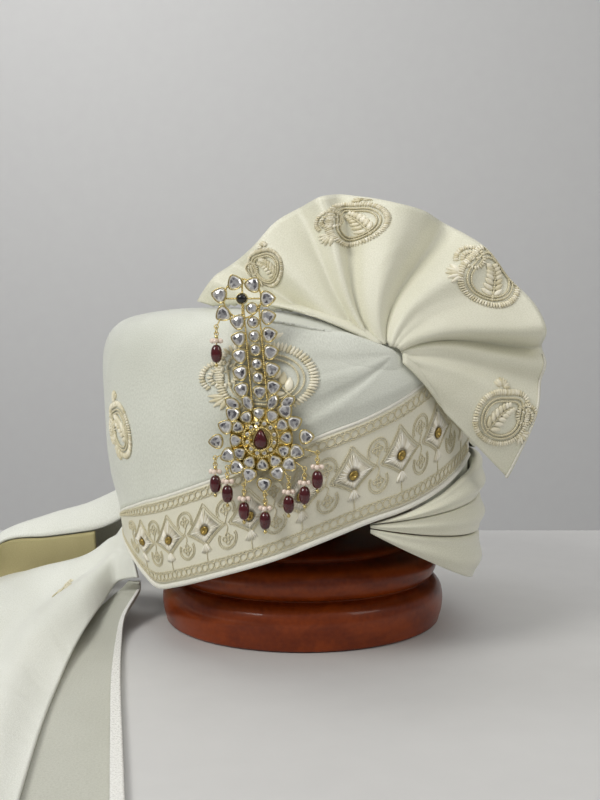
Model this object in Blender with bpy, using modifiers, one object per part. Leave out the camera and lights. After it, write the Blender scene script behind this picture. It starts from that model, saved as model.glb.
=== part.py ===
# A tied turban pagri with its jewelled kalgi, on a turned wooden display stand.
# Metres, +Z up. The origin is the centre of the stand's foot, on the surface that it stands on.
# The photographed side faces -Y, and the turban's own front is turned a little towards +X.
import bmesh
import bpy
import numpy as np
from math import atan2, cos, degrees, exp, hypot, pi, radians, sin

# Crown: an oval wound cap with a softly rounded shoulder.
CROWN_HEIGHT = 0.182
HALF_WIDTH = 0.102
HALF_LENGTH = 0.119
CROWN_OFFSET_X = -0.0055
FACING = radians(17)
LEAN = -0.05
LEAN_START = 0.060
CROWN_WALL = 0.016
CROWN_SIDES = 38
CROWN_INNER_ROWS = 4
CROWN_OUTER_ROWS = 10
KNOT_TURN = radians(12)
KNOT_DIP = 0.020
DIP_SPREAD = radians(38)

# Clearances between neighbours.
LAYER_GAP = 0.0005
SEAT_GAP = 0.0003
CHORD_GAP = 0.0009
FAN_GAP = 0.0015
PIPING_GAP = 0.0007

# Cloth walls.
DRAPE_WALL = 0.0020
BAND_WALL = 0.0018
FAN_WALL = 0.0016
TAIL_WALL = 0.0016
PIPING_RADIUS = 0.0015
PIPING_START = -100

# Embroidered border band.
BAND_WIDTH = 0.050

# Front drape.
DRAPE_START = radians(-158)
DRAPE_END = radians(46)
DRAPE_TOP = 0.86
CREASE_DEPTH = 0.0022
RIM_RISE = 0.008
RIM_MIDDLE = radians(-45)

# Wound layers at the nape.
NAPE_THICKNESS = 0.0085
NAPE_SIDE = 75
NAPE_ENDS = 0.15
NAPE_THIN = 0.16
NAPE_NARROW = 0.45

# Fan of pleats, the turra.
KNOT_HEIGHT = 0.157
FAN_RADIUS = 0.088
FAN_SWEEP = 0.034
PLEAT_DEPTH = 0.0105
FAN_CURL = radians(48)
FAN_START = 0.07

# Free end of the cloth.
TAIL_REACH = 0.290
TAIL_RISE = 1.593 * CROWN_HEIGHT
TAIL_FOLD = 0.006
TAIL_SEAT_START = radians(-114)
TAIL_SEAT_END = radians(-128)
TAIL_SEAT_LOW = 0.330 * CROWN_HEIGHT
TAIL_SEAT_RISE = 0.077 * CROWN_HEIGHT
TAIL_SEAT_GAP = 0.0007
TAIL_LEAVES = 0.25

# Turned wooden stand.
BASE_RADIUS = 0.0845
BASE_HEIGHT = 0.049
POST_RADIUS = 0.018
REST_RADIUS = 0.058
REST_HEIGHT = 0.024
REST_EASE = 0.0018
STAND_SIDES = 24
POST_SIDES = 16

# Kalgi, a brooch of kundan stones, in its own upright plane.
KALGI_TURN = radians(-25.6)
KALGI_HEIGHT = 0.120
KALGI_YAW = radians(-9)
PLATE_WALL = 0.0012
RAIL_RADIUS = 0.0010
CROOK_RADIUS = 0.0005
STONE_SIDES = 8
TABLE_SHARE = 0.42
BEZEL_HEIGHT = 0.0018
STONE_HEIGHT = 0.0011
FLOWER_RADIUS = 0.0225
DROP_FORWARD = 0.0026
EYE_RADIUS = 0.0010
LINK_RADIUS = 0.0017
LINK_WIRE = 0.0003
COLLAR_RADIUS = 0.0022
COLLAR_HEIGHT = 0.0040
BEAD_LENGTH = 0.0088
BEAD_RADIUS = 0.0028
PIN_RADIUS = 0.0004
END_RADIUS = 0.0009
RING_STEPS = 10
BEAD_SIDES = 10
BEAD_ROWS = 4

# Columns: share of the crown's height, share of its half width.
PROFILE = (
    (0.000, 0.900),
    (0.150, 0.935),
    (0.300, 0.975),
    (0.500, 1.000),
    (0.700, 1.012),
    (0.860, 1.020),
    (0.940, 0.995),
    (0.980, 0.930),
    (1.000, 0.800),
    (1.010, 0.500),
    (1.015, 0.000),
)

# Columns: turn from the front in degrees, lower edge as a share of the crown's height, width as a
# share of the band's.
BAND = (
    (-112, 0.286, 0.12),
    (-98, 0.283, 0.25),
    (-86, 0.261, 0.45),
    (-76, 0.220, 0.70),
    (-68, 0.193, 0.89),
    (-58, 0.217, 0.91),
    (-42, 0.271, 0.93),
    (-26, 0.327, 0.97),
    (-10, 0.391, 0.99),
    (2, 0.434, 0.99),
    (14, 0.462, 1.07),
    (26, 0.497, 1.15),
    (38, 0.538, 1.14),
    (50, 0.582, 1.06),
)

# Columns: bearing from the knot in degrees, depth as a share of the crease depth, spread in degrees.
CREASES = (
    (203, -1.0, 5.0),
    (193, 0.7, 6.0),
    (181, -0.5, 6.0),
    (168, 0.4, 7.0),
)

# The nape's layers fan out from the notch at the front. Columns: the height of each edge between
# them at the notch, the side and the back, as shares of the crown's height.
NAPE_EDGES = (
    (0.388, 0.150, 0.190),
    (0.403, 0.315, 0.395),
    (0.414, 0.440, 0.560),
    (0.425, 0.560, 0.715),
    (0.530, 0.700, 0.845),
    (0.640, 0.845, 0.950),
)
# Columns: name, turn at the start and at the end in degrees. Each lies above the one before it.
NAPE_WRAPS = (
    ("nape_wrap_low", 3, 228),
    ("nape_wrap_middle", 9, 229),
    ("nape_wrap_high", 20, 230),
    ("back_wrap_low", 53, 199),
    ("back_wrap_high", 54, 198),
)

# Columns: bearing from the knot in degrees, reach as a share of the fan's radius, and how far the
# cloth stands forward, as a share of the pleat depth.
FAN = (
    (164, 1.19, -0.3),
    (156, 1.14, 0.3),
    (149, 1.08, -0.7),
    (140, 1.03, 0.4),
    (130, 1.04, 0.1),
    (121, 1.03, -0.4),
    (113, 1.02, 0.8),
    (106, 1.01, -0.6),
    (97, 0.95, 0.3),
    (86, 0.90, 1.0),
    (76, 0.89, 0.4),
    (66, 0.88, -1.0),
    (57, 0.87, -0.1),
    (46, 0.87, 0.7),
    (32, 0.87, 0.4),
    (18, 0.94, 0.7),
    (9, 0.96, 1.0),
    (3, 0.97, -0.9),
    (-3, 0.98, -0.1),
    (-10, 0.97, -0.4),
    (-20, 0.98, 0.4),
    (-34, 1.00, 0.6),
    (-45, 1.06, 0.1),
)

# Columns: radius as a share of the base radius, height as a share of the base height, from the top
# of the upper ring down its outer side to the foot.
STAND_PROFILE = (
    (0.000, 1.000),
    (0.660, 1.000),
    (0.745, 0.985),
    (0.775, 0.950),
    (0.775, 0.915),
    (0.845, 0.900),
    (0.920, 0.855),
    (0.953, 0.760),
    (0.953, 0.660),
    (0.925, 0.560),
    (0.895, 0.525),
    (0.945, 0.490),
    (0.985, 0.410),
    (1.000, 0.290),
    (0.990, 0.160),
    (0.960, 0.060),
    (0.935, 0.000),
    (0.000, 0.000),
)

# The free end's layers. Columns: share of the length, then the near edge's place across, ahead and up,
# the far edge's place across, ahead and up, and the swell between them. Heights are shares of the
# tail's rise, and all the rest are shares of its reach.
TAIL_FRONT = (
    (0.00, -0.333, -0.090, 0.096, -0.3775, 0.010, 0.180, 0.010),
    (0.12, -0.383, -0.040, 0.074, -0.413, 0.045, 0.136, 0.030),
    (0.25, -0.403, -0.110, 0.047, -0.490, 0.103, 0.078, 0.030),
    (0.40, -0.416, -0.293, 0.022, -0.672, 0.207, 0.030, 0.014),
    (0.58, -0.405, -0.517, 0.013, -0.776, -0.034, 0.013, 0.000),
    (0.78, -0.386, -0.724, 0.013, -0.741, -0.414, 0.013, 0.000),
    (1.00, -0.352, -1.000, 0.013, -0.638, -0.983, 0.013, 0.000),
)
TAIL_HEM = (
    (0.00, -0.331, -0.080, 0.084, -0.355, -0.050, 0.080, 0.000),
    (0.15, -0.335, -0.045, 0.058, -0.388, -0.045, 0.048, 0.000),
    (0.30, -0.352, -0.128, 0.026, -0.428, -0.138, 0.020, 0.000),
    (0.45, -0.344, -0.228, 0.006, -0.455, -0.248, 0.005, 0.000),
    (0.62, -0.310, -0.455, 0.004, -0.469, -0.466, 0.004, 0.000),
    (0.80, -0.262, -0.734, 0.004, -0.448, -0.724, 0.004, 0.000),
    (1.00, -0.217, -0.993, 0.004, -0.414, -0.993, 0.004, 0.000),
)
TAIL_BACK = (
    (0.00, -0.396, 0.103, 0.166, -0.418, 0.262, 0.103, 0.107),
    (0.30, -0.488, 0.155, 0.143, -0.503, 0.345, 0.010, 0.103),
    (0.60, -0.582, 0.207, 0.122, -0.614, 0.407, 0.007, 0.083),
    (0.85, -0.691, 0.241, 0.104, -0.731, 0.431, 0.007, 0.048),
    (1.00, -0.786, 0.248, 0.034, -0.800, 0.407, 0.007, 0.021),
)

# The crook at the brooch's top. Columns: across and up from the flower's centre, as shares of the
# flower's radius, and the heading of the stone's point in degrees.
CROOK = (
    (0.16, 3.05, 5),
    (-0.16, 3.36, 55),
    (-0.57, 3.41, 114),
    (-0.92, 3.13, 168),
    (-0.84, 2.71, 216),
)
CROOK_CENTRE = (-0.41, 3.05)
# The wings above the flower, in the same columns.
WINGS = (
    (-0.63, 0.77, 148),
    (-0.29, 0.79, 118),
    (0.26, 0.81, 62),
    (0.59, 0.82, 34),
)
# Where the drops hang. Columns: across and up from the flower's centre, as shares of its radius.
DROPS = (
    (-1.01, -0.42),
    (-0.74, -0.63),
    (-0.37, -1.00),
    (0.10, -1.20),
    (0.62, -0.83),
    (0.97, -0.62),
    (1.25, -0.27),
    (-0.97, 2.44),
)


def clear_scene():
    for obj in list(bpy.data.objects):
        bpy.data.objects.remove(obj)


def hex_colour(text):
    values = [int(text[i:i + 2], 16) / 255 for i in (0, 2, 4)]
    linear = [v / 12.92 if v <= 0.04045 else ((v + 0.055) / 1.055) ** 2.4 for v in values]
    return (*linear, 1.0)


def finish(name, colour, roughness, metallic=0.0):
    material = bpy.data.materials.new(name)
    material.use_nodes = True
    shader = material.node_tree.nodes["Principled BSDF"]
    shader.inputs["Base Color"].default_value = hex_colour(colour)
    shader.inputs["Roughness"].default_value = roughness
    shader.inputs["Metallic"].default_value = metallic
    return material


def smooth_table(rows, share, column):
    """A column of a table, read smoothly at a share of the table's length."""
    last = len(rows) - 1
    place = min(max(share, 0.0), 1.0) * last
    i = min(int(place), last - 1)
    t = place - i
    before, here = rows[max(i - 1, 0)][column], rows[i][column]
    ahead, after = rows[i + 1][column], rows[min(i + 2, last)][column]
    bend = 2 * before - 5 * here + 4 * ahead - after
    return here + 0.5 * t * (ahead - before + t * (bend + t * (3 * (here - ahead) + after - before)))


def share_at(rows, value):
    """The share of the table's length where its first column holds a value."""
    rising = rows[-1][0] > rows[0][0]
    low, high = 0.0, 1.0
    for _ in range(30):
        middle = (low + high) / 2
        if (smooth_table(rows, middle, 0) < value) == rising:
            low = middle
        else:
            high = middle
    return (low + high) / 2


def turn_gap(angle, centre):
    return (angle - centre + pi) % (2 * pi) - pi


def top_height(angle, reach):
    """The crown's height in one direction: it is pulled down at the knot, and level at its middle."""
    gap = turn_gap(angle, KNOT_TURN)
    return CROWN_HEIGHT - KNOT_DIP * exp(-((gap / DIP_SPREAD) ** 2)) * reach ** 4


def crown_point(angle, share, out=0.0):
    """A point of the crown's outer form, a distance out along its profile's normal."""
    step = 0.01
    low, high = max(share - step, 0.0), min(share + step, 1.0)
    rise = smooth_table(PROFILE, high, 0) - smooth_table(PROFILE, low, 0)
    spread = smooth_table(PROFILE, high, 1) - smooth_table(PROFILE, low, 1)
    reach = smooth_table(PROFILE, share, 1)
    away, up = rise * CROWN_HEIGHT * min(reach / 0.4, 1.0), -spread * HALF_WIDTH
    size = hypot(away, up)
    across = (HALF_WIDTH * reach + out * away / size) * sin(angle)
    ahead = (HALF_LENGTH * reach + out * away / size) * cos(angle)
    height = smooth_table(PROFILE, share, 0) * top_height(angle, reach) + out * up / size
    x = CROWN_OFFSET_X + LEAN * (height - LEAN_START) + across * cos(FACING) + ahead * sin(FACING)
    y = across * sin(FACING) - ahead * cos(FACING)
    return np.array((x, y, height))


def wall_share(angle, height):
    """The profile share of the crown's wall at a height."""
    low, high = 0.0, 0.70
    for _ in range(24):
        middle = (low + high) / 2
        reach = smooth_table(PROFILE, middle, 1)
        if smooth_table(PROFILE, middle, 0) * top_height(angle, reach) < height:
            low = middle
        else:
            high = middle
    return (low + high) / 2


def clear_of_crown(point, out):
    """The point, or the nearest way out of the crown for a point that is inside it."""
    core = 0.55 * CROWN_HEIGHT
    x = point[0] - CROWN_OFFSET_X - LEAN * (point[2] - LEAN_START)
    across = x * cos(FACING) + point[1] * sin(FACING)
    ahead = x * sin(FACING) - point[1] * cos(FACING)
    angle = atan2(across / HALF_WIDTH, ahead / HALF_LENGTH)
    reach = hypot(across / HALF_WIDTH, ahead / HALF_LENGTH)
    low, high = 0.0, 1.0
    for _ in range(24):
        middle = (low + high) / 2
        there = crown_point(angle, middle, out)
        width = smooth_table(PROFILE, middle, 1) + out / HALF_WIDTH
        if (there[2] - core) * reach < (point[2] - core) * width:
            low = middle
        else:
            high = middle
    seat = crown_point(angle, (low + high) / 2, out)
    middle_point = np.array((CROWN_OFFSET_X, 0.0, core))
    inside = np.linalg.norm(point - middle_point) < np.linalg.norm(seat - middle_point)
    return seat if inside else point


def band_edges(angle):
    """Heights of the band's lower and upper edge."""
    share = share_at(BAND, degrees(angle))
    low = smooth_table(BAND, share, 1) * CROWN_HEIGHT
    return low, low + smooth_table(BAND, share, 2) * BAND_WIDTH


def crease(angle, height):
    """How far the drape's soft folds, which run to the knot, stand out."""
    aside = turn_gap(angle, KNOT_TURN) * HALF_LENGTH
    bearing = degrees(atan2(height - KNOT_HEIGHT, aside)) % 360
    far = min(hypot(aside, height - KNOT_HEIGHT) / HALF_LENGTH, 1.0)
    total = 0.0
    for centre, depth, spread in CREASES:
        total += depth * exp(-(((bearing - centre) / spread) ** 2))
    return CREASE_DEPTH * total * far ** 0.5 * (1 - 0.35 * far)


def mesh_object(name, mesh, material, collection):
    obj = bpy.data.objects.new(name, mesh)
    obj.data.materials.append(material)
    collection.objects.link(obj)
    return obj


def bent_grid(name, across, along, place, material, collection, wall=0.0, fill_ends=False):
    """A grid bent by place(u, v), with doubles merged, and a wall where one is given."""
    bm = bmesh.new()
    bmesh.ops.create_grid(bm, x_segments=across, y_segments=along, size=0.5)
    for vert in bm.verts:
        vert.co = place(vert.co.x + 0.5, vert.co.y + 0.5)
    bmesh.ops.remove_doubles(bm, verts=bm.verts, dist=1e-6)
    if fill_ends:
        rim = [edge for edge in bm.edges if edge.is_boundary]
        bmesh.ops.holes_fill(bm, edges=rim)
    bmesh.ops.recalc_face_normals(bm, faces=bm.faces)
    mesh = bpy.data.meshes.new(name)
    bm.to_mesh(mesh)
    bm.free()
    mesh.shade_smooth()
    obj = mesh_object(name, mesh, material, collection)
    if wall:
        solid = obj.modifiers.new("wall", "SOLIDIFY")
        solid.thickness = wall
        solid.offset = 0.0
    return obj


def rim_height(angle):
    """The lower rim of the crown's shell: just above the band's edge, or above the lowest wrap."""
    front = band_edges(min(max(angle, radians(BAND[0][0])), radians(BAND[-1][0])))[0]
    turn = degrees(angle) % 360
    back = nape_edge(1, min(max(turn, NAPE_WRAPS[0][1]), NAPE_WRAPS[-1][2]))
    gap = degrees(turn_gap(angle, RIM_MIDDLE))
    blend = min(max((abs(gap) - (50 if gap > 0 else 74)) / 28, 0.0), 1.0)
    blend = blend * blend * (3 - 2 * blend)
    return (front * (1 - blend) + back * blend) + RIM_RISE


def crown_shell(material, collection):
    """The wound crown: an open-bottomed shell with its own inner form."""
    rows = CROWN_INNER_ROWS + CROWN_OUTER_ROWS

    def place(u, v):
        angle = 2 * pi * u - pi
        start = wall_share(angle, rim_height(angle))
        row = v * rows
        inner = row / CROWN_INNER_ROWS
        if round(row) <= CROWN_INNER_ROWS:
            return crown_point(angle, 1 - (1 - start) * inner, -CROWN_WALL)
        outer = (row - CROWN_INNER_ROWS - 1) / (CROWN_OUTER_ROWS - 1)
        return crown_point(angle, start + (1 - start) * outer)

    return bent_grid("crown_shell", CROWN_SIDES, rows, place, material, collection)


def drape_start(angle):
    """Height of the drape's lower edge: along the band, and behind it above the nape's layers."""
    first = radians(BAND[0][0])
    low = band_edges(min(max(angle, first), radians(BAND[-1][0])))[1] + 2 * LAYER_GAP
    if angle > first:
        return low
    behind = min((first - angle) / radians(14), 1.0)
    behind = behind * behind * (3 - 2 * behind)
    return low + (nape_edge(3, degrees(angle) % 360) + 2 * LAYER_GAP - low) * behind


def front_drape(material, collection):
    """The large smooth panel, from the band's top edge up over the shoulder."""

    def place(u, v):
        angle = DRAPE_START + (DRAPE_END - DRAPE_START) * u
        start = wall_share(angle, drape_start(angle))
        share = start + (DRAPE_TOP - start) * v
        height = crown_point(angle, share)[2]
        edge = max(min(u / 0.06, (1 - u) / 0.04, v / 0.12, (1 - v) / 0.12, 1.0), 0.0)
        out = LAYER_GAP + DRAPE_WALL / 2 + (CREASE_DEPTH + crease(angle, height)) * edge
        return crown_point(angle, share, out)

    return bent_grid("front_drape", 26, 6, place, material, collection, wall=DRAPE_WALL)


def band_point(angle, share, out):
    low, high = band_edges(angle)
    height = low + (high - low) * share
    return crown_point(angle, wall_share(angle, height), out)


def border_band(material, collection):
    first, last = radians(BAND[0][0]), radians(BAND[-1][0])

    def place(u, v):
        return band_point(first + (last - first) * u, v, CHORD_GAP + BAND_WALL / 2)

    return bent_grid("border_band", 28, 3, place, material, collection, wall=BAND_WALL)


def tube(name, points, radius, material, collection):
    """A wire or cord of round section, as a closed mesh."""
    curve = bpy.data.curves.new(name, "CURVE")
    curve.dimensions = "3D"
    curve.bevel_depth = radius
    curve.bevel_resolution = 1
    curve.use_fill_caps = True
    spline = curve.splines.new("POLY")
    spline.points.add(len(points) - 1)
    for spot, point in zip(spline.points, points):
        spot.co = (*point, 1.0)
    obj = bpy.data.objects.new(name, curve)
    obj.data.materials.append(material)
    collection.objects.link(obj)
    return obj


def band_piping(material, collection):
    """White corded edge below the band."""
    first, last = radians(PIPING_START), radians(BAND[-1][0] - 1)
    points = []
    for share in np.linspace(0, 1, 31):
        angle = first + (last - first) * share
        low = band_edges(angle)[0] - PIPING_RADIUS - PIPING_GAP
        points.append(crown_point(angle, wall_share(angle, low), CHORD_GAP + PIPING_RADIUS))
    return tube("band_piping", points, PIPING_RADIUS, material, collection)


def nape_edge(index, turn):
    """Height of an edge between the nape's layers, which stay below the band's piping."""
    start, side, back = NAPE_EDGES[index]
    first, last = NAPE_WRAPS[0][1], NAPE_WRAPS[2][2]
    if turn < NAPE_SIDE:
        t = max(turn - first, 0) / (NAPE_SIDE - first)
        share = start + (side - start) * (1 - (1 - t) ** 1.7)
    else:
        t = min((turn - NAPE_SIDE) / (last - NAPE_SIDE), 1)
        share = side + (back - side) * t * t * (3 - 2 * t)
    height = share * CROWN_HEIGHT
    if turn < BAND[-1][0]:
        height = min(height, band_edges(radians(turn))[0] - 2 * PIPING_RADIUS - 3 * SEAT_GAP)
    return height


def nape_wrap(index, material, collection):
    """One wound layer, from a thin end at the front notch round to the back."""
    name, first, last = NAPE_WRAPS[index]

    def place(u, v):
        turn = first + (last - first) * u
        angle = radians(turn)
        low = nape_edge(index, turn) + SEAT_GAP
        high = nape_edge(index + 1, turn) - SEAT_GAP
        swell = min(u / NAPE_ENDS, (1 - u) / NAPE_ENDS, 1.0)
        swell = swell * (2 - swell)
        narrow = 1 if turn < NAPE_SIDE and index < 3 else NAPE_NARROW + (1 - NAPE_NARROW) * swell
        thick = NAPE_THICKNESS * (NAPE_THIN + (1 - NAPE_THIN) * swell)
        round_turn = 2 * pi * v
        height = (low + high) / 2 - (high - low) / 2 * narrow * cos(round_turn)
        out = CHORD_GAP + thick / 2 * (1 - sin(round_turn))
        return crown_point(angle, wall_share(angle, height), out)

    return bent_grid(name, 18, 6, place, material, collection, fill_ends=True)


def fan_point(bearing_share, reach_share):
    """A point of the pleated fan: it opens from the knot, and its pleats curl in at their foot."""
    bearing = radians(smooth_table(FAN, bearing_share, 0))
    reach = smooth_table(FAN, bearing_share, 1) * FAN_RADIUS * reach_share
    proud = smooth_table(FAN, bearing_share, 2) * PLEAT_DEPTH
    bearing += FAN_CURL * (1 - reach_share) ** 2 * sin(pi * bearing_share)
    knot = knot_point()
    back = FAN_SWEEP * reach_share ** 1.3
    y = knot[1] + back - proud * reach_share ** 0.8
    point = np.array((knot[0] + reach * cos(bearing), y, knot[2] + reach * sin(bearing)))
    return clear_of_crown(point, LAYER_GAP + DRAPE_WALL + CREASE_DEPTH + FAN_WALL / 2 + FAN_GAP)


def knot_point():
    share = wall_share(KNOT_TURN, KNOT_HEIGHT)
    return crown_point(KNOT_TURN, share, LAYER_GAP + DRAPE_WALL + FAN_WALL)


def turra_fan(material, collection):
    def place(u, v):
        return fan_point(u, FAN_START + (1 - FAN_START) * v)

    return bent_grid("turra_fan", 2 * (len(FAN) - 1), 5, place, material, collection, wall=FAN_WALL)


def tail_point(rows, length_share, across_share, folds=0.0):
    """A point of a layer of the free end, between its near and its far edge."""
    share = share_at(rows, length_share)
    near = np.array([smooth_table(rows, share, column) for column in (1, 2, 3)])
    far = np.array([smooth_table(rows, share, column) for column in (4, 5, 6)])
    point = (near + (far - near) * across_share) * np.array((TAIL_REACH, TAIL_REACH, TAIL_RISE))
    swell = smooth_table(rows, share, 7) * TAIL_REACH
    lying = min(length_share * 3, 1.0)
    fold = (0.5 - 0.5 * cos(2 * pi * folds * across_share)) * TAIL_FOLD * lying
    point[2] += swell * (4 * across_share * (1 - across_share)) ** 0.8 + fold
    point[2] = max(point[2], TAIL_WALL / 2 + SEAT_GAP)
    return point


def tail_seat(across_share):
    """Where the upper sheet leaves the crown, between the drape's rear edge and the nape's layers."""
    angle = TAIL_SEAT_START + (TAIL_SEAT_END - TAIL_SEAT_START) * across_share
    height = TAIL_SEAT_LOW + TAIL_SEAT_RISE * 4 * across_share * (1 - across_share)
    return crown_point(angle, wall_share(angle, height), TAIL_SEAT_GAP)


def tail_layer(name, rows, across, along, folds, material, collection, seated=False):
    def place(u, v):
        point = tail_point(rows, v, u, folds)
        if not seated:
            return point
        away = min(v / TAIL_LEAVES, 1.0)
        return tail_seat(u) + (point - tail_seat(u)) * away * (2 - away)

    return bent_grid(name, across, along, place, material, collection, wall=TAIL_WALL)


def turned(name, profile, sides, material, collection, closed=False):
    """A profile at +X, top to bottom down its outer side, turned about Z."""
    mesh = bpy.data.meshes.new(name)
    edges = [(i, i + 1) for i in range(len(profile) - 1)]
    if closed:
        edges.append((len(profile) - 1, 0))
    mesh.from_pydata([(r, 0.0, z) for r, z in profile], edges, [])
    obj = mesh_object(name, mesh, material, collection)
    screw = obj.modifiers.new("turn", "SCREW")
    screw.steps = sides
    screw.render_steps = sides
    screw.use_merge_vertices = True
    screw.merge_threshold = 0.00001
    screw.use_smooth_shade = True
    return obj


def stand(material, collection):
    base = [(r * BASE_RADIUS, h * BASE_HEIGHT) for r, h in STAND_PROFILE]
    turned("stand_base", base, STAND_SIDES, material, collection)
    foot = BASE_HEIGHT + SEAT_GAP
    top = CROWN_HEIGHT * PROFILE[-1][0] - CROWN_WALL - REST_HEIGHT - REST_EASE
    flare = 0.35 * POST_RADIUS
    post = [
        (0.0, top),
        (POST_RADIUS, top),
        (POST_RADIUS, foot + 2 * flare),
        (POST_RADIUS + 0.4 * flare, foot + flare),
        (POST_RADIUS + 1.6 * flare, foot),
        (0.0, foot),
    ]
    turned("stand_post", post, POST_SIDES, material, collection)
    bottom = top + SEAT_GAP
    dome = [(0.0, bottom + REST_HEIGHT)]
    for i in range(1, 6):
        arc = pi / 2 * i / 5
        dome.append((REST_RADIUS * sin(arc), bottom + 0.2 * REST_HEIGHT + 0.8 * REST_HEIGHT * cos(arc)))
    dome.append((0.94 * REST_RADIUS, bottom))
    dome.append((0.0, bottom))
    turned("stand_rest", dome, STAND_SIDES, material, collection)


def kalgi_frame():
    """The brooch's own frame: its seat on the drape, and its directions across, up and forward."""
    across = np.array((cos(KALGI_YAW), sin(KALGI_YAW), 0.0))
    forward = np.array((sin(KALGI_YAW), -cos(KALGI_YAW), 0.0))
    seat = crown_point(KALGI_TURN, wall_share(KALGI_TURN, KALGI_HEIGHT))
    nearest = 0.0
    for i in range(21):
        for j in range(17):
            angle = KALGI_TURN + radians(3 * (i - 10))
            share = wall_share(angle, KALGI_HEIGHT + FLOWER_RADIUS * (0.22 * j - 1.0))
            height = crown_point(angle, share)[2]
            out = LAYER_GAP + DRAPE_WALL + CREASE_DEPTH + crease(angle, height)
            nearest = max(nearest, (crown_point(angle, share, out) - seat) @ forward)
    return seat + forward * (nearest + SEAT_GAP), across, np.array((0.0, 0.0, 1.0)), forward


def on_chart(frame, across_share, up_share, forward=0.0):
    """A place on the brooch, given in shares of the flower's radius."""
    seat, across, up, ahead = frame
    return seat + (across * across_share + up * up_share) * FLOWER_RADIUS + ahead * forward


def stone_outline(kind, turn):
    """A unit outline: a round, a pear with its point ahead, or a marquise."""
    x, y = cos(turn), sin(turn)
    if kind == "pear":
        y *= 1 - 0.42 * x
    if kind == "marquise":
        y *= abs(y) ** 0.35
    return x, y


def stone_solid(name, frame, stone, rings, material, collection, sides=STONE_SIDES):
    """A closed cell: an outline carried through rings of a share of its size and a height."""
    (across_share, up_share), kind, (length, width), heading = stone
    ahead, side = cos(radians(heading)), sin(radians(heading))

    def place(u, v):
        share, height = rings[round(v * (len(rings) - 1))]
        x, y = stone_outline(kind, 2 * pi * u)
        x, y = x * share * length / 2, y * share * width / 2
        x, y = x * ahead - y * side, x * side + y * ahead
        return on_chart(frame, across_share + x, up_share + y, height)

    return bent_grid(name, sides, len(rings) - 1, place, material, collection, fill_ends=True)


def set_stones():
    """Every clear stone of the brooch: its place, kind, size in shares and heading."""
    stones = []
    for i in range(12):
        turn = 30 * i + 94
        spot = (0.56 * cos(radians(turn)), 0.56 * sin(radians(turn)))
        stones.append((spot, "pear", (0.27, 0.26), turn + 180))
    for i in range(13):
        turn = 139 + 22.5 * i
        far = 1.01 if i in (2, 6, 10) else 0.84
        spot = (far * cos(radians(turn)), far * sin(radians(turn)))
        stones.append((spot, "pear", (0.33, 0.31), turn))
    for across_share, up_share, heading in WINGS:
        stones.append(((across_share, up_share), "marquise", (0.38, 0.24), heading))
    for i in range(6):
        stones.append(((-0.060 - 0.026 * i, 1.34 + 0.300 * i), "round", (0.28, 0.28), 0))
    stones.append(((-0.02, 1.02), "pear", (0.30, 0.30), -90))
    for i in range(5):
        stones.append(((0.290 - 0.029 * i, 1.14 + 0.380 * i), "pear", (0.33, 0.32), 14))
        stones.append(((-0.44 - 0.019 * i, 1.08 + 0.368 * i), "pear", (0.33, 0.32), 166))
    for across_share, up_share, heading in CROOK:
        stones.append(((across_share, up_share), "pear", (0.34, 0.33), heading))
    return stones


def solid_curve(name, points, radius, material, collection, closed=False):
    """A round wire as a mesh, so that it can be joined to other solids."""
    guide = tube(name, points, radius, material, collection)
    guide.data.splines[0].use_cyclic_u = closed
    graph = bpy.context.evaluated_depsgraph_get()
    mesh = bpy.data.meshes.new_from_object(guide.evaluated_get(graph))
    curve = guide.data
    bpy.data.objects.remove(guide)
    bpy.data.curves.remove(curve)
    bm = bmesh.new()
    bm.from_mesh(mesh)
    bmesh.ops.remove_doubles(bm, verts=bm.verts, dist=1e-6)
    bmesh.ops.recalc_face_normals(bm, faces=bm.faces)
    bm.to_mesh(mesh)
    bm.free()
    mesh.materials.clear()
    return mesh_object(name, mesh, material, collection)


def ring_points(centre, first, second, radius, count):
    points = []
    for i in range(count):
        turn = 2 * pi * i / count
        points.append(centre + first * radius * cos(turn) + second * radius * sin(turn))
    return points


def fuse(base, others):
    """Joins solids that touch into one body."""
    union = base.modifiers.new("fuse", "BOOLEAN")
    union.operation = "UNION"
    union.operand_type = "COLLECTION"
    union.collection = others
    union.solver = "EXACT"
    union.use_self = True


def hidden_collection(name):
    collection = bpy.data.collections.new(name)
    bpy.context.scene.collection.children.link(collection)
    return collection


def hide_helpers(collection):
    for obj in collection.objects:
        obj.hide_render = True
        obj.display_type = "WIRE"


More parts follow.
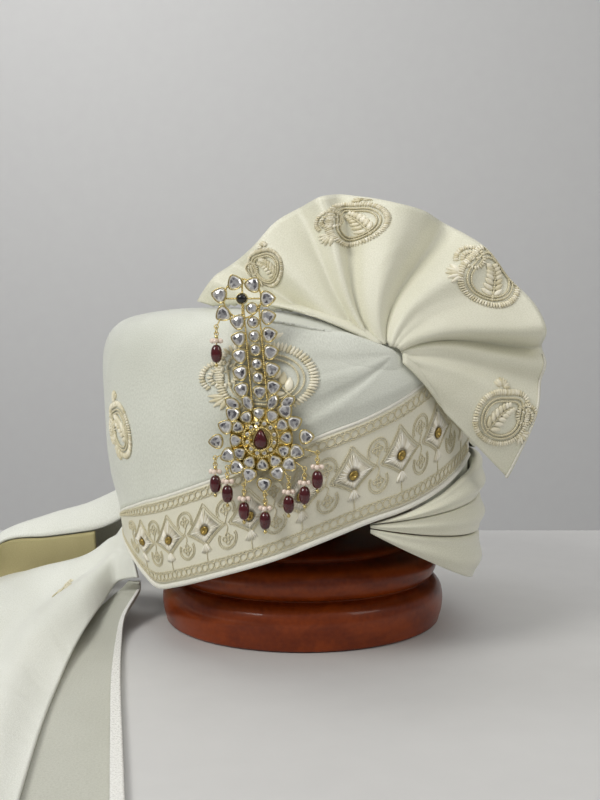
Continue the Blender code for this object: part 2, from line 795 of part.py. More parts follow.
def kalgi_setting(frame, material, collection):
    """Gold plate, bezels and clear stones, soldered and set as one body."""
    seat, across, up, forward = frame
    helpers = hidden_collection("kalgi_setting_pieces")
    disc = ((1.0, 0.0), (1.0, PLATE_WALL))
    round_plate = ((0, 0), "round", (1.78, 1.78), 0)
    plate = stone_solid("kalgi_setting", frame, round_plate, disc, material, collection, 24)
    stem_low, stem_high = on_chart(frame, -0.03, 0.70), on_chart(frame, -0.21, 2.86)
    strip = np.array([stem_low + (stem_high - stem_low) * share for share in (0.0, 0.5, 1.0)])
    for side in (-1, 1):
        points = [point + across * side * 0.18 * FLOWER_RADIUS + forward * PLATE_WALL for point in strip]
        solid_curve("stem_rail", points, RAIL_RADIUS, material, helpers)
    cell = ((1.0, 0.0), (1.0, BEZEL_HEIGHT), (TABLE_SHARE, BEZEL_HEIGHT + STONE_HEIGHT))
    for stone in set_stones():
        stone_solid("clear_stone", frame, stone, cell, material, helpers)
    seat_cell = ((1.0, 0.0), (1.0, BEZEL_HEIGHT))
    stone_solid("centre_seat", frame, ((0, 0), "pear", (0.52, 0.40), 90), seat_cell, material, helpers)
    stone_solid("black_seat", frame, (CROOK_CENTRE, "round", (0.24, 0.24), 0), seat_cell, material, helpers)
    crook = on_chart(frame, *CROOK_CENTRE, PLATE_WALL / 2)
    loop = ring_points(crook, across, up, 0.42 * FLOWER_RADIUS, 16)
    solid_curve("crook_wire", loop, CROOK_RADIUS, material, helpers, closed=True)
    bar = [crook - across * 0.42 * FLOWER_RADIUS, crook, crook + across * 0.42 * FLOWER_RADIUS]
    solid_curve("crook_bar", bar, CROOK_RADIUS, material, helpers)
    for index, (across_share, up_share) in enumerate(DROPS):
        eye = on_chart(frame, across_share, up_share, DROP_FORWARD)
        eyelet = ring_points(eye, across, up, EYE_RADIUS, RING_STEPS)
        solid_curve("drop_eyelet", eyelet, LINK_WIRE, material, helpers, closed=True)
        root = (0.62 * across_share, 0.62 * up_share)
        if index == len(DROPS) - 1:
            root = CROOK[-1][:2]
        inner = on_chart(frame, *root, PLATE_WALL)
        reach = (eye - inner) / np.linalg.norm(eye - inner)
        solid_curve("drop_peg", [inner, eye - reach * EYE_RADIUS], LINK_WIRE * 1.2, material, helpers)
    fuse(plate, helpers)
    hide_helpers(helpers)
    return plate


def kalgi_stones(frame, ruby, jet, collection):
    """The red centre stone and the black round stone, each seated in its bezel."""
    low = BEZEL_HEIGHT + SEAT_GAP
    cut = ((0.9, low), (1.0, low + 0.4 * STONE_HEIGHT), (TABLE_SHARE, low + 1.3 * STONE_HEIGHT))
    centre = ((0, 0), "pear", (0.42, 0.30), 90)
    stone_solid("kalgi_centre_stone", frame, centre, cut, ruby, collection)
    stone_solid("kalgi_black_stone", frame, (CROOK_CENTRE, "round", (0.20, 0.20), 0), cut, jet, collection)


def drop(index, frame, gold, ruby, collection):
    """One drop: a jump ring, a headpin with its collar, and an oval bead threaded on the pin."""
    seat, across, up, forward = frame
    hook = on_chart(frame, *DROPS[index], DROP_FORWARD)
    name = f"drop_{index + 1}"
    middle = hook - up * LINK_RADIUS
    link_points = ring_points(middle, forward, up, LINK_RADIUS, RING_STEPS)
    solid_curve(name + "_link", link_points, LINK_WIRE, gold, collection, closed=True)
    eye = hook - up * 2 * LINK_RADIUS
    top = -EYE_RADIUS
    collar_low = top - COLLAR_HEIGHT
    bead_low = collar_low - SEAT_GAP - BEAD_LENGTH
    profile = [
        (0.0, top + 0.4 * LINK_WIRE),
        (PIN_RADIUS, top),
        (COLLAR_RADIUS, top - 0.5 * COLLAR_HEIGHT),
        (PIN_RADIUS, collar_low),
        (PIN_RADIUS, bead_low - SEAT_GAP),
        (END_RADIUS, bead_low - SEAT_GAP - END_RADIUS),
        (0.0, bead_low - SEAT_GAP - 2 * END_RADIUS),
    ]
    pin = turned(name + "_pin", profile, BEAD_SIDES, gold, collection)
    pin.location = eye
    helpers = hidden_collection(name + "_pieces")
    eye_points = ring_points(eye, across, up, EYE_RADIUS, RING_STEPS)
    solid_curve(name + "_eye", eye_points, LINK_WIRE, gold, helpers, closed=True)
    fuse(pin, helpers)
    hide_helpers(helpers)
    bore = PIN_RADIUS + SEAT_GAP
    loop = [(bore, bead_low + BEAD_LENGTH)]
    for i in range(BEAD_ROWS):
        arc = pi * (i + 0.5) / BEAD_ROWS
        reach = bore + (BEAD_RADIUS - bore) * sin(arc) ** 0.6
        loop.append((reach, bead_low + BEAD_LENGTH * (0.5 + 0.5 * cos(arc))))
    loop.append((bore, bead_low))
    bead = turned(name + "_bead", loop, BEAD_SIDES, ruby, collection, closed=True)
    bead.location = eye


def main():
    clear_scene()
    parts = bpy.data.collections.new("turban_pagri_on_stand")
    bpy.context.scene.collection.children.link(parts)
    silk = finish("ivory_silk", "DDDCC6", 0.45)
    shade_silk = finish("ivory_silk_shaded", "CBCAB0", 0.50)
    zari = finish("embroidered_band", "CFC7A8", 0.50)
    cord = finish("white_piping", "E8E6D8", 0.55)
    wood = finish("varnished_wood", "5E2411", 0.25)
    stand(wood, parts)
    crown_shell(shade_silk, parts)
    front_drape(silk, parts)
    border_band(zari, parts)
    band_piping(cord, parts)
    for index in range(len(NAPE_WRAPS)):
        nape_wrap(index, silk, parts)
    turra_fan(silk, parts)
    tail_layer("tail_front", TAIL_FRONT, 12, 12, 2.0, silk, parts)
    tail_layer("tail_hem", TAIL_HEM, 3, 10, 0.0, silk, parts)
    tail_layer("tail_back", TAIL_BACK, 7, 10, 0.0, shade_silk, parts, seated=True)
    gold = finish("gilt_setting", "B99A56", 0.30, metallic=1.0)
    ruby = finish("red_glass", "5A0A12", 0.15)
    jet = finish("black_glass", "0B0B0D", 0.15)
    frame = kalgi_frame()
    kalgi_setting(frame, gold, parts)
    kalgi_stones(frame, ruby, jet, parts)
    for index in range(len(DROPS)):
        drop(index, frame, gold, ruby, parts)


main()
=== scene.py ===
# %% [markdown]
# A tied turban on its display stand: a rigid frame first, and then its looks.
# The imported model gives every piece its place. Each piece below is laid over its solid with many more
# faces than the solid has, so that silk can bend softly and stones can catch the light.

# %% The frame
from math import atan2, cos, degrees, exp, hypot, pi, radians, sin

import bmesh
import bpy
import numpy as np
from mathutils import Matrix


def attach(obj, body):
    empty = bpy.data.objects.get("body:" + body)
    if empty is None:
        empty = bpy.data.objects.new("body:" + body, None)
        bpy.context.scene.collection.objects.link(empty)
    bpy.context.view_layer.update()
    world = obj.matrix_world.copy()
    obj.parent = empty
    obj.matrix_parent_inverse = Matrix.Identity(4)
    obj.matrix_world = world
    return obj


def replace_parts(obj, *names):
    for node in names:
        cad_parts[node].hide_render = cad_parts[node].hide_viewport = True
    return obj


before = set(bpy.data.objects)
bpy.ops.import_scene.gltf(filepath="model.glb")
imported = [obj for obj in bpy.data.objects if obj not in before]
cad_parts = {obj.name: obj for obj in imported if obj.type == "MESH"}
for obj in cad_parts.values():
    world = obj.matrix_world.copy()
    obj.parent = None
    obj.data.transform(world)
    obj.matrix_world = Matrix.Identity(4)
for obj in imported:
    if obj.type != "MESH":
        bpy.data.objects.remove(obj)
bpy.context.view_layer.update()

# %% [markdown]
# The camera stands a little above the brooch's height and looks slightly down, as a person would hold it
# at arm's length. Its lens is a plain 50 mm one. The table's far edge shows behind the turban, with a
# plain wall beyond it, so both are slabs. One large soft light stands for a window at the left, and
# three weaker ones for the room's walls and ceiling.

# %% Camera and light
scene = bpy.context.scene
camera_data = bpy.data.cameras.new("camera")
camera_data.lens = 50
camera_data.sensor_width = 36
camera = bpy.data.objects.new("camera", camera_data)
camera.location = (-0.0016, -0.667, 0.179)
camera.rotation_euler = (radians(85.8), 0, 0)
scene.collection.objects.link(camera)
scene.camera = camera
scene.view_settings.view_transform = "Standard"


def linear(text):
    """An sRGB hex colour as the linear values that a shader wants."""
    values = [int(text[i:i + 2], 16) / 255 for i in (0, 2, 4)]
    return (*[v / 12.92 if v <= 0.04045 else ((v + 0.055) / 1.055) ** 2.4 for v in values], 1.0)


def add_node(tree, kind, inputs=None, **settings):
    """Adds a node with its settings. An input is a value, or another node's socket to link."""
    made = tree.nodes.new(kind)
    for key, value in settings.items():
        setattr(made, key, value)
    for key, value in (inputs or {}).items():
        if isinstance(value, bpy.types.NodeSocket):
            tree.links.new(value, made.inputs[key])
        else:
            made.inputs[key].default_value = value
    return made


def add_light(name, place, aim, size, power, colour):
    """A soft square light that faces a point."""
    data = bpy.data.lights.new(name, "AREA")
    data.size = size
    data.energy = power
    data.color = linear(colour)[:3]
    light = bpy.data.objects.new(name, data)
    light.location = place
    away = np.array(place) - np.array(aim)
    light.rotation_euler = (atan2(hypot(away[0], away[1]), away[2]), 0, atan2(away[0], -away[1]))
    scene.collection.objects.link(light)
    return light


add_light("window", (-0.80, -0.75, 0.95), (0, 0, 0.1), 0.50, 9.0, "FFFEFA")
add_light("ceiling", (0.30, 0.10, 1.30), (0, 0, 0.1), 0.9, 1.6, "FFFFFF")
add_light("side_fill", (0.85, -0.60, 0.85), (0.05, 0, 0.15), 0.5, 2.4, "FFFBF2")
add_light("wall_wash", (-0.60, 0.35, 1.30), (-0.15, 1.30, 0.60), 0.7, 5.0, "FFFFFF")
world = bpy.data.worlds.new("studio")
world.use_nodes = True
sky = world.node_tree
toward = add_node(sky, "ShaderNodeTexCoord").outputs["Generated"]
upward = add_node(sky, "ShaderNodeSeparateXYZ", {"Vector": toward}).outputs["Z"]
glow = add_node(
    sky, "ShaderNodeMapRange",
    {"Value": upward, "From Min": -0.2, "From Max": 0.9, "To Min": 0.20, "To Max": 0.60},
)
sky.nodes["Background"].inputs["Color"].default_value = linear("E6E7EA")
sky.links.new(glow.outputs["Result"], sky.nodes["Background"].inputs["Strength"])
scene.world = world

# %% [markdown]
# The table is painted board: matte, nearly white, with a slight unevenness that keeps it from looking
# like paper. Its edges are far from the turban except at the back, where the photograph shows one.

# %% Table
def new_material(name):
    """A new material, with its node tree and its shader."""
    material = bpy.data.materials.new(name)
    material.use_nodes = True
    return material, material.node_tree, material.node_tree.nodes["Principled BSDF"]


def painted_board(name, deep, light):
    """Painted board: matte, with a roller's faint mottling about 20 mm across."""
    material, tree, shader = new_material(name)
    place = add_node(tree, "ShaderNodeTexCoord")
    spread = {"Vector": place.outputs["Object"], "Scale": 50.0, "Detail": 3.0}
    mottle = add_node(tree, "ShaderNodeTexNoise", spread)
    colours = {0: mottle.outputs["Fac"], 6: linear(deep), 7: linear(light)}
    tone = add_node(tree, "ShaderNodeMix", colours, data_type="RGBA")
    tree.links.new(tone.outputs[2], shader.inputs["Base Color"])
    shader.inputs["Roughness"].default_value = 0.55
    return material


EDGE_SOFTNESS = 0.004


def add_slab(name, size, middle, material):
    """A slab with softened edges, for the table and the wall."""
    bm = bmesh.new()
    bmesh.ops.create_cube(bm, size=1.0)
    bmesh.ops.scale(bm, vec=size, verts=bm.verts)
    bmesh.ops.translate(bm, vec=middle, verts=bm.verts)
    bmesh.ops.bevel(bm, geom=bm.edges[:], offset=EDGE_SOFTNESS, segments=3, affect="EDGES")
    mesh = bpy.data.meshes.new(name)
    bm.to_mesh(mesh)
    bm.free()
    mesh.materials.append(material)
    slab = bpy.data.objects.new(name, mesh)
    scene.collection.objects.link(slab)


table_paint = painted_board("table_paint", "CCCBC9", "D2D1CF")
wall_paint = painted_board("wall_paint", "E0DFDE", "E4E4E2")
add_slab("table", (2.4, 1.55, 0.03), (0.0, -0.505, -0.0155), table_paint)
add_slab("wall", (6.0, 0.05, 4.0), (0.0, 1.30, 0.5), wall_paint)
print("staging", table_paint.name, wall_paint.name)

# %% [markdown]
# Silk satin has a long smooth float of thread on its face, so it is glossy in one broad, soft way. This
# one is a crepe satin: its fine grain sparkles and breaks the gloss up. The threads are 0.2 mm apart,
# too fine for the picture, so the grain is drawn at about 1 mm. Each cloth keeps its flat cut as a UV
# map in metres, and the grain lies on that, so that it follows every fold.

# %% Silk, cord and thread
def crepe_silk(name, light, deep, rough, wrinkle=1.0):
    """Ivory silk: a soft broad gloss with a fine sparkle, and shallow creases left by wearing and tying.
    Painted shade darkens the creases' hollows, and the brighter grains are lightened: random thread tone
    with a painted sparkle.
    """
    material, tree, shader = new_material(name)
    flat = add_node(tree, "ShaderNodeUVMap", uv_map="cloth").outputs["UV"]
    weave = {"Vector": flat, "Scale": 1100.0, "Detail": 3.0, "Roughness": 0.8}
    grain = add_node(tree, "ShaderNodeTexNoise", weave).outputs["Fac"]
    thread = add_node(tree, "ShaderNodeTexNoise", {"Vector": flat, "Scale": 620.0, "Detail": 1.0})
    crease_and_shade_noise = {"Vector": flat, "Scale": 26.0, "Detail": 2.0, "Distortion": 0.6}
    soft = add_node(tree, "ShaderNodeTexNoise", crease_and_shade_noise).outputs["Fac"]
    slub = add_node(tree, "ShaderNodeMix", {0: 0.3, 2: grain, 3: thread.outputs["Fac"]})
    speck = add_node(tree, "ShaderNodeMapRange", {"Value": grain, "From Min": 0.36, "From Max": 0.64})
    # The colour is painted shade in the creases' hollows, where the crease noise is low, mixed with the
    # grain's speckle: random thread tone and a painted sparkle.
    cast = add_node(tree, "ShaderNodeMix", {0: 0.5, 2: soft, 3: speck.outputs["Result"]})
    colours = {0: cast.outputs[0], 6: linear(deep), 7: linear(light)}
    tone = add_node(tree, "ShaderNodeMix", colours, data_type="RGBA")
    relief = {"Strength": 0.55, "Distance": 0.0005, "Height": slub.outputs[0]}
    fine = add_node(tree, "ShaderNodeBump", relief).outputs["Normal"]
    creases = {"Strength": 0.35 * wrinkle, "Distance": 0.003, "Height": soft, "Normal": fine}
    large = add_node(tree, "ShaderNodeBump", creases)
    shine = {"Value": grain, "To Min": rough - 0.14, "To Max": rough + 0.14}
    gloss = add_node(tree, "ShaderNodeMapRange", shine)
    tree.links.new(tone.outputs[2], shader.inputs["Base Color"])
    tree.links.new(gloss.outputs["Result"], shader.inputs["Roughness"])
    tree.links.new(large.outputs["Normal"], shader.inputs["Normal"])
    shader.inputs["Sheen Weight"].default_value = 0.25
    shader.inputs["Sheen Roughness"].default_value = 0.4
    shader.inputs["Specular IOR Level"].default_value = 0.55
    return material


def twisted_thread(name, light, deep, rough, metallic):
    """Rayon and metal thread, twisted: bright where a strand turns to the light, dark between."""
    material, tree, shader = new_material(name)
    place = add_node(tree, "ShaderNodeTexCoord").outputs["Object"]
    twist = {"Vector": place, "Scale": 700.0, "Detail": 2.0}
    strand = add_node(tree, "ShaderNodeTexNoise", twist).outputs["Fac"]
    colours = {0: strand, 6: linear(deep), 7: linear(light)}
    tone = add_node(tree, "ShaderNodeMix", colours, data_type="RGBA")
    ridge = add_node(tree, "ShaderNodeBump", {"Strength": 0.4, "Distance": 0.0003, "Height": strand})
    tree.links.new(tone.outputs[2], shader.inputs["Base Color"])
    tree.links.new(ridge.outputs["Normal"], shader.inputs["Normal"])
    shader.inputs["Roughness"].default_value = rough
    shader.inputs["Metallic"].default_value = metallic
    shader.inputs["Sheen Weight"].default_value = 0.2
    return material


def satin_stitch(name, light, deep):
    """Satin stitch: untwisted floss, laid side by side. Each stitch takes the light in its own tone."""
    material, tree, shader = new_material(name)
    stitch = add_node(tree, "ShaderNodeAttribute", attribute_name="tone", attribute_type="GEOMETRY")
    colours = {0: stitch.outputs["Fac"], 6: linear(deep), 7: linear(light)}
    tone = add_node(tree, "ShaderNodeMix", colours, data_type="RGBA")
    tree.links.new(tone.outputs[2], shader.inputs["Base Color"])
    shader.inputs["Roughness"].default_value = 0.28
    shader.inputs["Sheen Weight"].default_value = 0.3
    return material


ivory = crepe_silk("ivory_crepe_satin", "F5F3E1", "D3D1B8", 0.36)
# The front copy of the ivory is darker and cooler: painted shade on the crown, the front drape and its
# folded edge.
painted_shade_drape_silk = crepe_silk("ivory_crepe_satin_front_painted_shade", "EAECE1", "C3C5B7", 0.38, 0.8)
tail_silk = crepe_silk("ivory_crepe_satin_tail", "F8F9F1", "D6D7CA", 0.40)
# The hem's copy is painted shade, darker where the front sheet shades it. The reverse's olive-gold copy is
# painted shade with painted light shining through the silk.
painted_shade_hem_silk = crepe_silk("ivory_crepe_satin_hem_painted_shade", "CECEC2", "B0B0A1", 0.42)
painted_shade_reverse = crepe_silk("ivory_satin_reverse_painted_shade", "CFC493", "BBAF7A", 0.55)
ground = crepe_silk("band_ground_satin", "E9E5D2", "DDD9C3", 0.42, 0.5)
ribbon_satin = crepe_silk("white_ribbon_satin", "F4F3EE", "EAE9E2", 0.28, 0.4)
cord = twisted_thread("white_cotton_cord", "F0EEE4", "DEDBCD", 0.60, 0.0)
zari = twisted_thread("antique_gold_thread", "EBE3C6", "C2B892", 0.30, 0.10)
satin_thread = satin_stitch("ivory_satin_stitch", "FFFBEF", "D2C9AC")
floss = satin_stitch("pale_gold_silk_floss", "F8F2DD", "CFC49C")
print("cloth finishes", [m.name for m in (ivory, painted_shade_drape_silk, painted_shade_reverse, ground, ribbon_satin)])

# %% [markdown]
# The crown is an oval wound cap. Its shape is one profile carried round an oval, a little pulled down
# where the fan is knotted and leaning a little to the left. The same few numbers made its solid, so
# every layer here is a distance out from that form.

# %% The crown's form
CROWN_HEIGHT, HALF_WIDTH, HALF_LENGTH = 0.182, 0.102, 0.119
CROWN_X, FACING, LEAN, LEAN_START, CROWN_WALL = -0.0055, radians(17), -0.05, 0.060, 0.016
KNOT_TURN, KNOT_DIP, DIP_SPREAD, KNOT_HEIGHT = radians(12), 0.020, radians(38), 0.157
SIDE_TURN, SIDE_DIP, SIDE_SPREAD = radians(-105), 0.008, radians(52)
LAYER_GAP, SEAT_GAP, CHORD_GAP = 0.0005, 0.0003, 0.0009
DRAPE_WALL, BAND_WALL, FAN_WALL, TAIL_WALL, BAND_WIDTH = 0.0020, 0.0018, 0.0016, 0.0016, 0.050
PROFILE = (
    (0.000, 0.900), (0.150, 0.935), (0.300, 0.975), (0.500, 1.000), (0.700, 1.012), (0.860, 1.020),
    (0.940, 0.995), (0.980, 0.930), (1.000, 0.800), (1.010, 0.500), (1.015, 0.000),
)
BAND = (
    (-112, 0.286, 0.12), (-98, 0.283, 0.25), (-86, 0.261, 0.45), (-76, 0.220, 0.70), (-68, 0.193, 0.89),
    (-58, 0.217, 0.91), (-42, 0.271, 0.93), (-26, 0.327, 0.97), (-10, 0.391, 0.99), (2, 0.434, 0.99),
    (14, 0.462, 1.07), (26, 0.497, 1.15), (38, 0.538, 1.14), (50, 0.582, 1.06),
)


def limit(value, low=0.0, high=1.0):
    return min(max(value, low), high)


def ease(share):
    """A share that leaves 0 and reaches 1 gently."""
    return share * share * (3 - 2 * share)


def bell(offset, spread):
    """A bump of 1 that dies out to both sides."""
    return exp(-((offset / spread) ** 2))


def halve(low, high, steps, is_short):
    """Halves a range again and again, down to the place where is_short stops being true."""
    for _ in range(steps):
        middle = (low + high) / 2
        if is_short(middle):
            low = middle
        else:
            high = middle
    return (low + high) / 2


def smooth_table(rows, share, column):
    """A column of a table, read smoothly at a share of the table's length."""
    last = len(rows) - 1
    place = limit(share) * last
    i = min(int(place), last - 1)
    t = place - i
    before, here = rows[max(i - 1, 0)][column], rows[i][column]
    ahead, after = rows[i + 1][column], rows[min(i + 2, last)][column]
    bend = 2 * before - 5 * here + 4 * ahead - after
    return here + 0.5 * t * (ahead - before + t * (bend + t * (3 * (here - ahead) + after - before)))


def share_at(rows, value):
    """The share of the table's length where its first column holds a value."""
    rising = rows[-1][0] > rows[0][0]
    return halve(0.0, 1.0, 22, lambda share: (smooth_table(rows, share, 0) < value) == rising)


def turn_gap(angle, centre):
    """The way from one direction to another, from half a turn back to half a turn on."""
    return (angle - centre + pi) % (2 * pi) - pi


def top_height(angle, reach):
    """The crown's height over a direction, lower at the knot and at the left shoulder."""
    knot_dip = KNOT_DIP * bell(turn_gap(angle, KNOT_TURN), DIP_SPREAD)
    side_dip = SIDE_DIP * bell(turn_gap(angle, SIDE_TURN), SIDE_SPREAD)
    return CROWN_HEIGHT - (knot_dip + side_dip) * reach ** 4


def crown_point(angle, share, out=0.0):
    """A point of the crown's outer form, a distance out along its profile's normal."""
    low, high = max(share - 0.01, 0.0), min(share + 0.01, 1.0)
    rise = smooth_table(PROFILE, high, 0) - smooth_table(PROFILE, low, 0)
    spread = smooth_table(PROFILE, high, 1) - smooth_table(PROFILE, low, 1)
    reach = smooth_table(PROFILE, share, 1)
    away, up = rise * CROWN_HEIGHT * min(reach / 0.4, 1.0), -spread * HALF_WIDTH
    size = hypot(away, up)
    across = (HALF_WIDTH * reach + out * away / size) * sin(angle)
    ahead = (HALF_LENGTH * reach + out * away / size) * cos(angle)
    height = smooth_table(PROFILE, share, 0) * top_height(angle, reach) + out * up / size
    x = CROWN_X + LEAN * (height - LEAN_START) + across * cos(FACING) + ahead * sin(FACING)
    return np.array((x, across * sin(FACING) - ahead * cos(FACING), height))


def wall_share(angle, height):
    """The profile share of the crown's wall at a height."""
    def is_short(share):
        reach = smooth_table(PROFILE, share, 1)
        return smooth_table(PROFILE, share, 0) * top_height(angle, reach) < height

    return halve(0.0, 0.70, 20, is_short)


def on_crown(angle, height, out):
    """A point of the crown's wall by its height, a distance out."""
    return crown_point(angle, wall_share(angle, height), out)


def band_edges(angle):
    """Heights of the band's lower and upper edge."""
    share = share_at(BAND, degrees(angle))
    low = smooth_table(BAND, share, 1) * CROWN_HEIGHT
    return low, low + smooth_table(BAND, share, 2) * BAND_WIDTH


print("crown at its widest", [round(v, 3) for v in crown_point(radians(90), 0.45)])

# %% [markdown]
# One helper makes every cloth piece: a fine grid that is bent by a rule, with its flat cut kept as a UV
# map. An open sheet then gets its thickness from a Solidify modifier, and a closed form has its doubles
# merged and its faces turned outwards.

# %% Cloth grids
def keep(name, mesh, material):
    """Links a mesh as a piece of the turban: it rides on the one body."""
    mesh.materials.append(material)
    piece = bpy.data.objects.new(name, mesh)
    scene.collection.objects.link(piece)
    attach(piece, "root")
    return piece


def cloth(name, across, along, place, flat, material, wall=0.0):
    """A grid bent by place(u, v). flat is its cut's size, in metres; a wall of 0 means a closed form."""
    bm = bmesh.new()
    layer = bm.loops.layers.uv.new("cloth")
    rows = []
    for j in range(along + 1):
        rows.append([bm.verts.new(place(i / across, j / along)) for i in range(across + 1)])
    for j in range(along):
        for i in range(across):
            face = bm.faces.new((rows[j][i], rows[j][i + 1], rows[j + 1][i + 1], rows[j + 1][i]))
            corners = ((i, j), (i + 1, j), (i + 1, j + 1), (i, j + 1))
            for loop, (a, b) in zip(face.loops, corners):
                loop[layer].uv = (a / across * flat[0], b / along * flat[1])
            face.smooth = True
    bmesh.ops.remove_doubles(bm, verts=bm.verts, dist=2e-6)
    if not wall:
        bmesh.ops.holes_fill(bm, edges=[edge for edge in bm.edges if edge.is_boundary])
    bmesh.ops.recalc_face_normals(bm, faces=bm.faces)
    mesh = bpy.data.meshes.new(name)
    bm.to_mesh(mesh)
    bm.free()
    piece = keep(name, mesh, material)
    if wall:
        solid = piece.modifiers.new("wall", "SOLIDIFY")
        solid.thickness = wall
        solid.offset = 0.0
        solid.use_even_offset = False
    return piece


# %% [markdown]
# The cap under the layers is padded and wound. Only its top and a little of its back show. Long shallow
# ridges run over it, where the cloth was pulled across the top towards the knot.

# %% Crown
NAPE_EDGES = (
    (0.388, 0.150, 0.190), (0.403, 0.315, 0.395), (0.414, 0.440, 0.560),
    (0.425, 0.560, 0.715), (0.530, 0.700, 0.845), (0.640, 0.845, 0.950),
)
NAPE_WRAPS = (
    ("nape_wrap_low", 3, 228), ("nape_wrap_middle", 3, 229), ("nape_wrap_high", 3, 230),
    ("back_wrap_low", 53, 199), ("back_wrap_high", 54, 198),
)
NAPE_SIDE, NAPE_THICKNESS, PIPING_RADIUS = 75, 0.0098, 0.0015
RIM_FRONT, RIM_RIGHT, RIM_LEFT, RIM_BLEND, RIM_TUCK = -45, 50, 74, 28, 0.008
INNER_END, OUTER_START, PULL_DEPTH = 0.40, 0.42, 0.00035


def nape_edge(index, turn):
    """Height of an edge between the nape's layers, which stay below the band's piping."""
    start, side, back = NAPE_EDGES[index]
    first, last = NAPE_WRAPS[0][1], NAPE_WRAPS[2][2]
    if turn < NAPE_SIDE:
        t = max(turn - first, 0) / (NAPE_SIDE - first)
        share = start + (side - start) * (1 - (1 - t) ** 1.7)
    else:
        t = min((turn - NAPE_SIDE) / (last - NAPE_SIDE), 1)
        share = side + (back - side) * ease(t)
    height = share * CROWN_HEIGHT
    if turn < BAND[-1][0]:
        height = min(height, band_edges(radians(turn))[0] - 2 * PIPING_RADIUS - 3 * SEAT_GAP)
    return height


def rim_height(angle):
    """The cap's lower edge, hidden behind the band in front and behind the layers at the nape."""
    front = band_edges(limit(angle, radians(BAND[0][0]), radians(BAND[-1][0])))[0]
    back = nape_edge(1, limit(degrees(angle) % 360, NAPE_WRAPS[0][1], NAPE_WRAPS[-1][2]))
    gap = degrees(turn_gap(angle, radians(RIM_FRONT)))
    blend = ease(limit((abs(gap) - (RIM_RIGHT if gap > 0 else RIM_LEFT)) / RIM_BLEND))
    return front * (1 - blend) + back * blend + RIM_TUCK


def crown_cloth(u, v):
    """Inner form up to INNER_END, outer form after it, with ridges that start at its shoulder."""
    angle = 2 * pi * u - pi
    start = wall_share(angle, rim_height(angle))
    if v <= INNER_END:
        return crown_point(angle, 1 - (1 - start) * v / INNER_END, -CROWN_WALL)
    t = max((v - OUTER_START) / (1 - OUTER_START), 0.0)
    share = start + (1 - start) * t
    x, y, _ = crown_point(angle, share)
    ridge = sin(x * 210 + 2.2 * sin(y * 38)) * limit((share - 0.6) / 0.2) * max(1 - t, 0.0) ** 0.3
    return crown_point(angle, share, PULL_DEPTH * ridge)


crown = cloth("crown_winding", 168, 100, crown_cloth, (0.70, 0.50), painted_shade_drape_silk)
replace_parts(crown, "crown_shell")
print("crown faces", len(crown.data.polygons))

# %% [markdown]
# The front drape is one large piece of silk pulled round the front of the cap and up to the knot. Where
# it is pulled, long folds run to the knot, deepest near it and dying out at the left. A few thinner
# ones are added here to those that the solid has.

# %% Front drape
DRAPE_START, DRAPE_END, DRAPE_STEP = radians(-158), radians(46), radians(14)
DRAPE_TOP, CREASE_DEPTH = 0.86, 0.0022
CREASES = ((203, -1.0, 5.0), (193, 0.7, 6.0), (181, -0.5, 6.0), (168, 0.4, 7.0))
THIN_CREASES = ((211, 0.30, 2.2), (206.5, -0.42, 1.5), (198, 0.34, 1.8), (188, -0.30, 2.0), (176, 0.26, 2.4))


def crease(angle, height):
    """How far the drape's folds stand out. They all run to the knot."""
    aside = turn_gap(angle, KNOT_TURN) * HALF_LENGTH
    bearing = degrees(atan2(height - KNOT_HEIGHT, aside)) % 360
    far = min(hypot(aside, height - KNOT_HEIGHT) / HALF_LENGTH, 1.0)
    large = sum(depth * bell(bearing - centre, spread) for centre, depth, spread in CREASES)
    thin = sum(depth * bell(bearing - centre, spread) for centre, depth, spread in THIN_CREASES)
    return CREASE_DEPTH * (large + thin * (1 - far ** 2)) * far ** 0.5 * (1 - 0.35 * far)


def drape_start(angle):
    """The drape's lower edge: above the band, and above the nape's layers behind the band's end."""
    first = radians(BAND[0][0])
    low = band_edges(limit(angle, first, radians(BAND[-1][0])))[1] + 2 * LAYER_GAP
    if angle > first:
        return low
    behind = ease(min((first - angle) / DRAPE_STEP, 1.0))
    return low + (nape_edge(3, degrees(angle) % 360) + 2 * LAYER_GAP - low) * behind


def drape_out(angle, height, edge=1.0):
    """How far the middle of the drape's thickness lies out from the crown's form."""
    return LAYER_GAP + DRAPE_WALL / 2 + (CREASE_DEPTH + crease(angle, height)) * edge


def front_drape(u, v):
    """The drape's cloth. Its edges lie flat on the crown, and its folds stand up between them."""
    angle = DRAPE_START + (DRAPE_END - DRAPE_START) * u
    start = wall_share(angle, drape_start(angle))
    share = start + (DRAPE_TOP - start) * v
    edge = ease(max(min(u / 0.06, (1 - u) / 0.04, v / 0.10, (1 - v) / 0.30, 1.0), 0.0))
    return crown_point(angle, share, drape_out(angle, crown_point(angle, share)[2], edge))


drape = cloth("front_drape_silk", 200, 80, front_drape, (0.40, 0.115), painted_shade_drape_silk, DRAPE_WALL)
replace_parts(drape, "front_drape")
print("drape faces", len(drape.data.polygons))

# %% [markdown]
# The nape's layers are the cloth wound round and round. Each is soft and thick, with small folds along
# it, and thins out where it is tucked in. A closed loop carried round the crown makes each.

# %% Wound layers
WRAP_RADIUS, TUCK_SHARE, TUCK_THICKNESS, TUCK_WIDTH = 0.112, 0.17, 0.12, 0.50


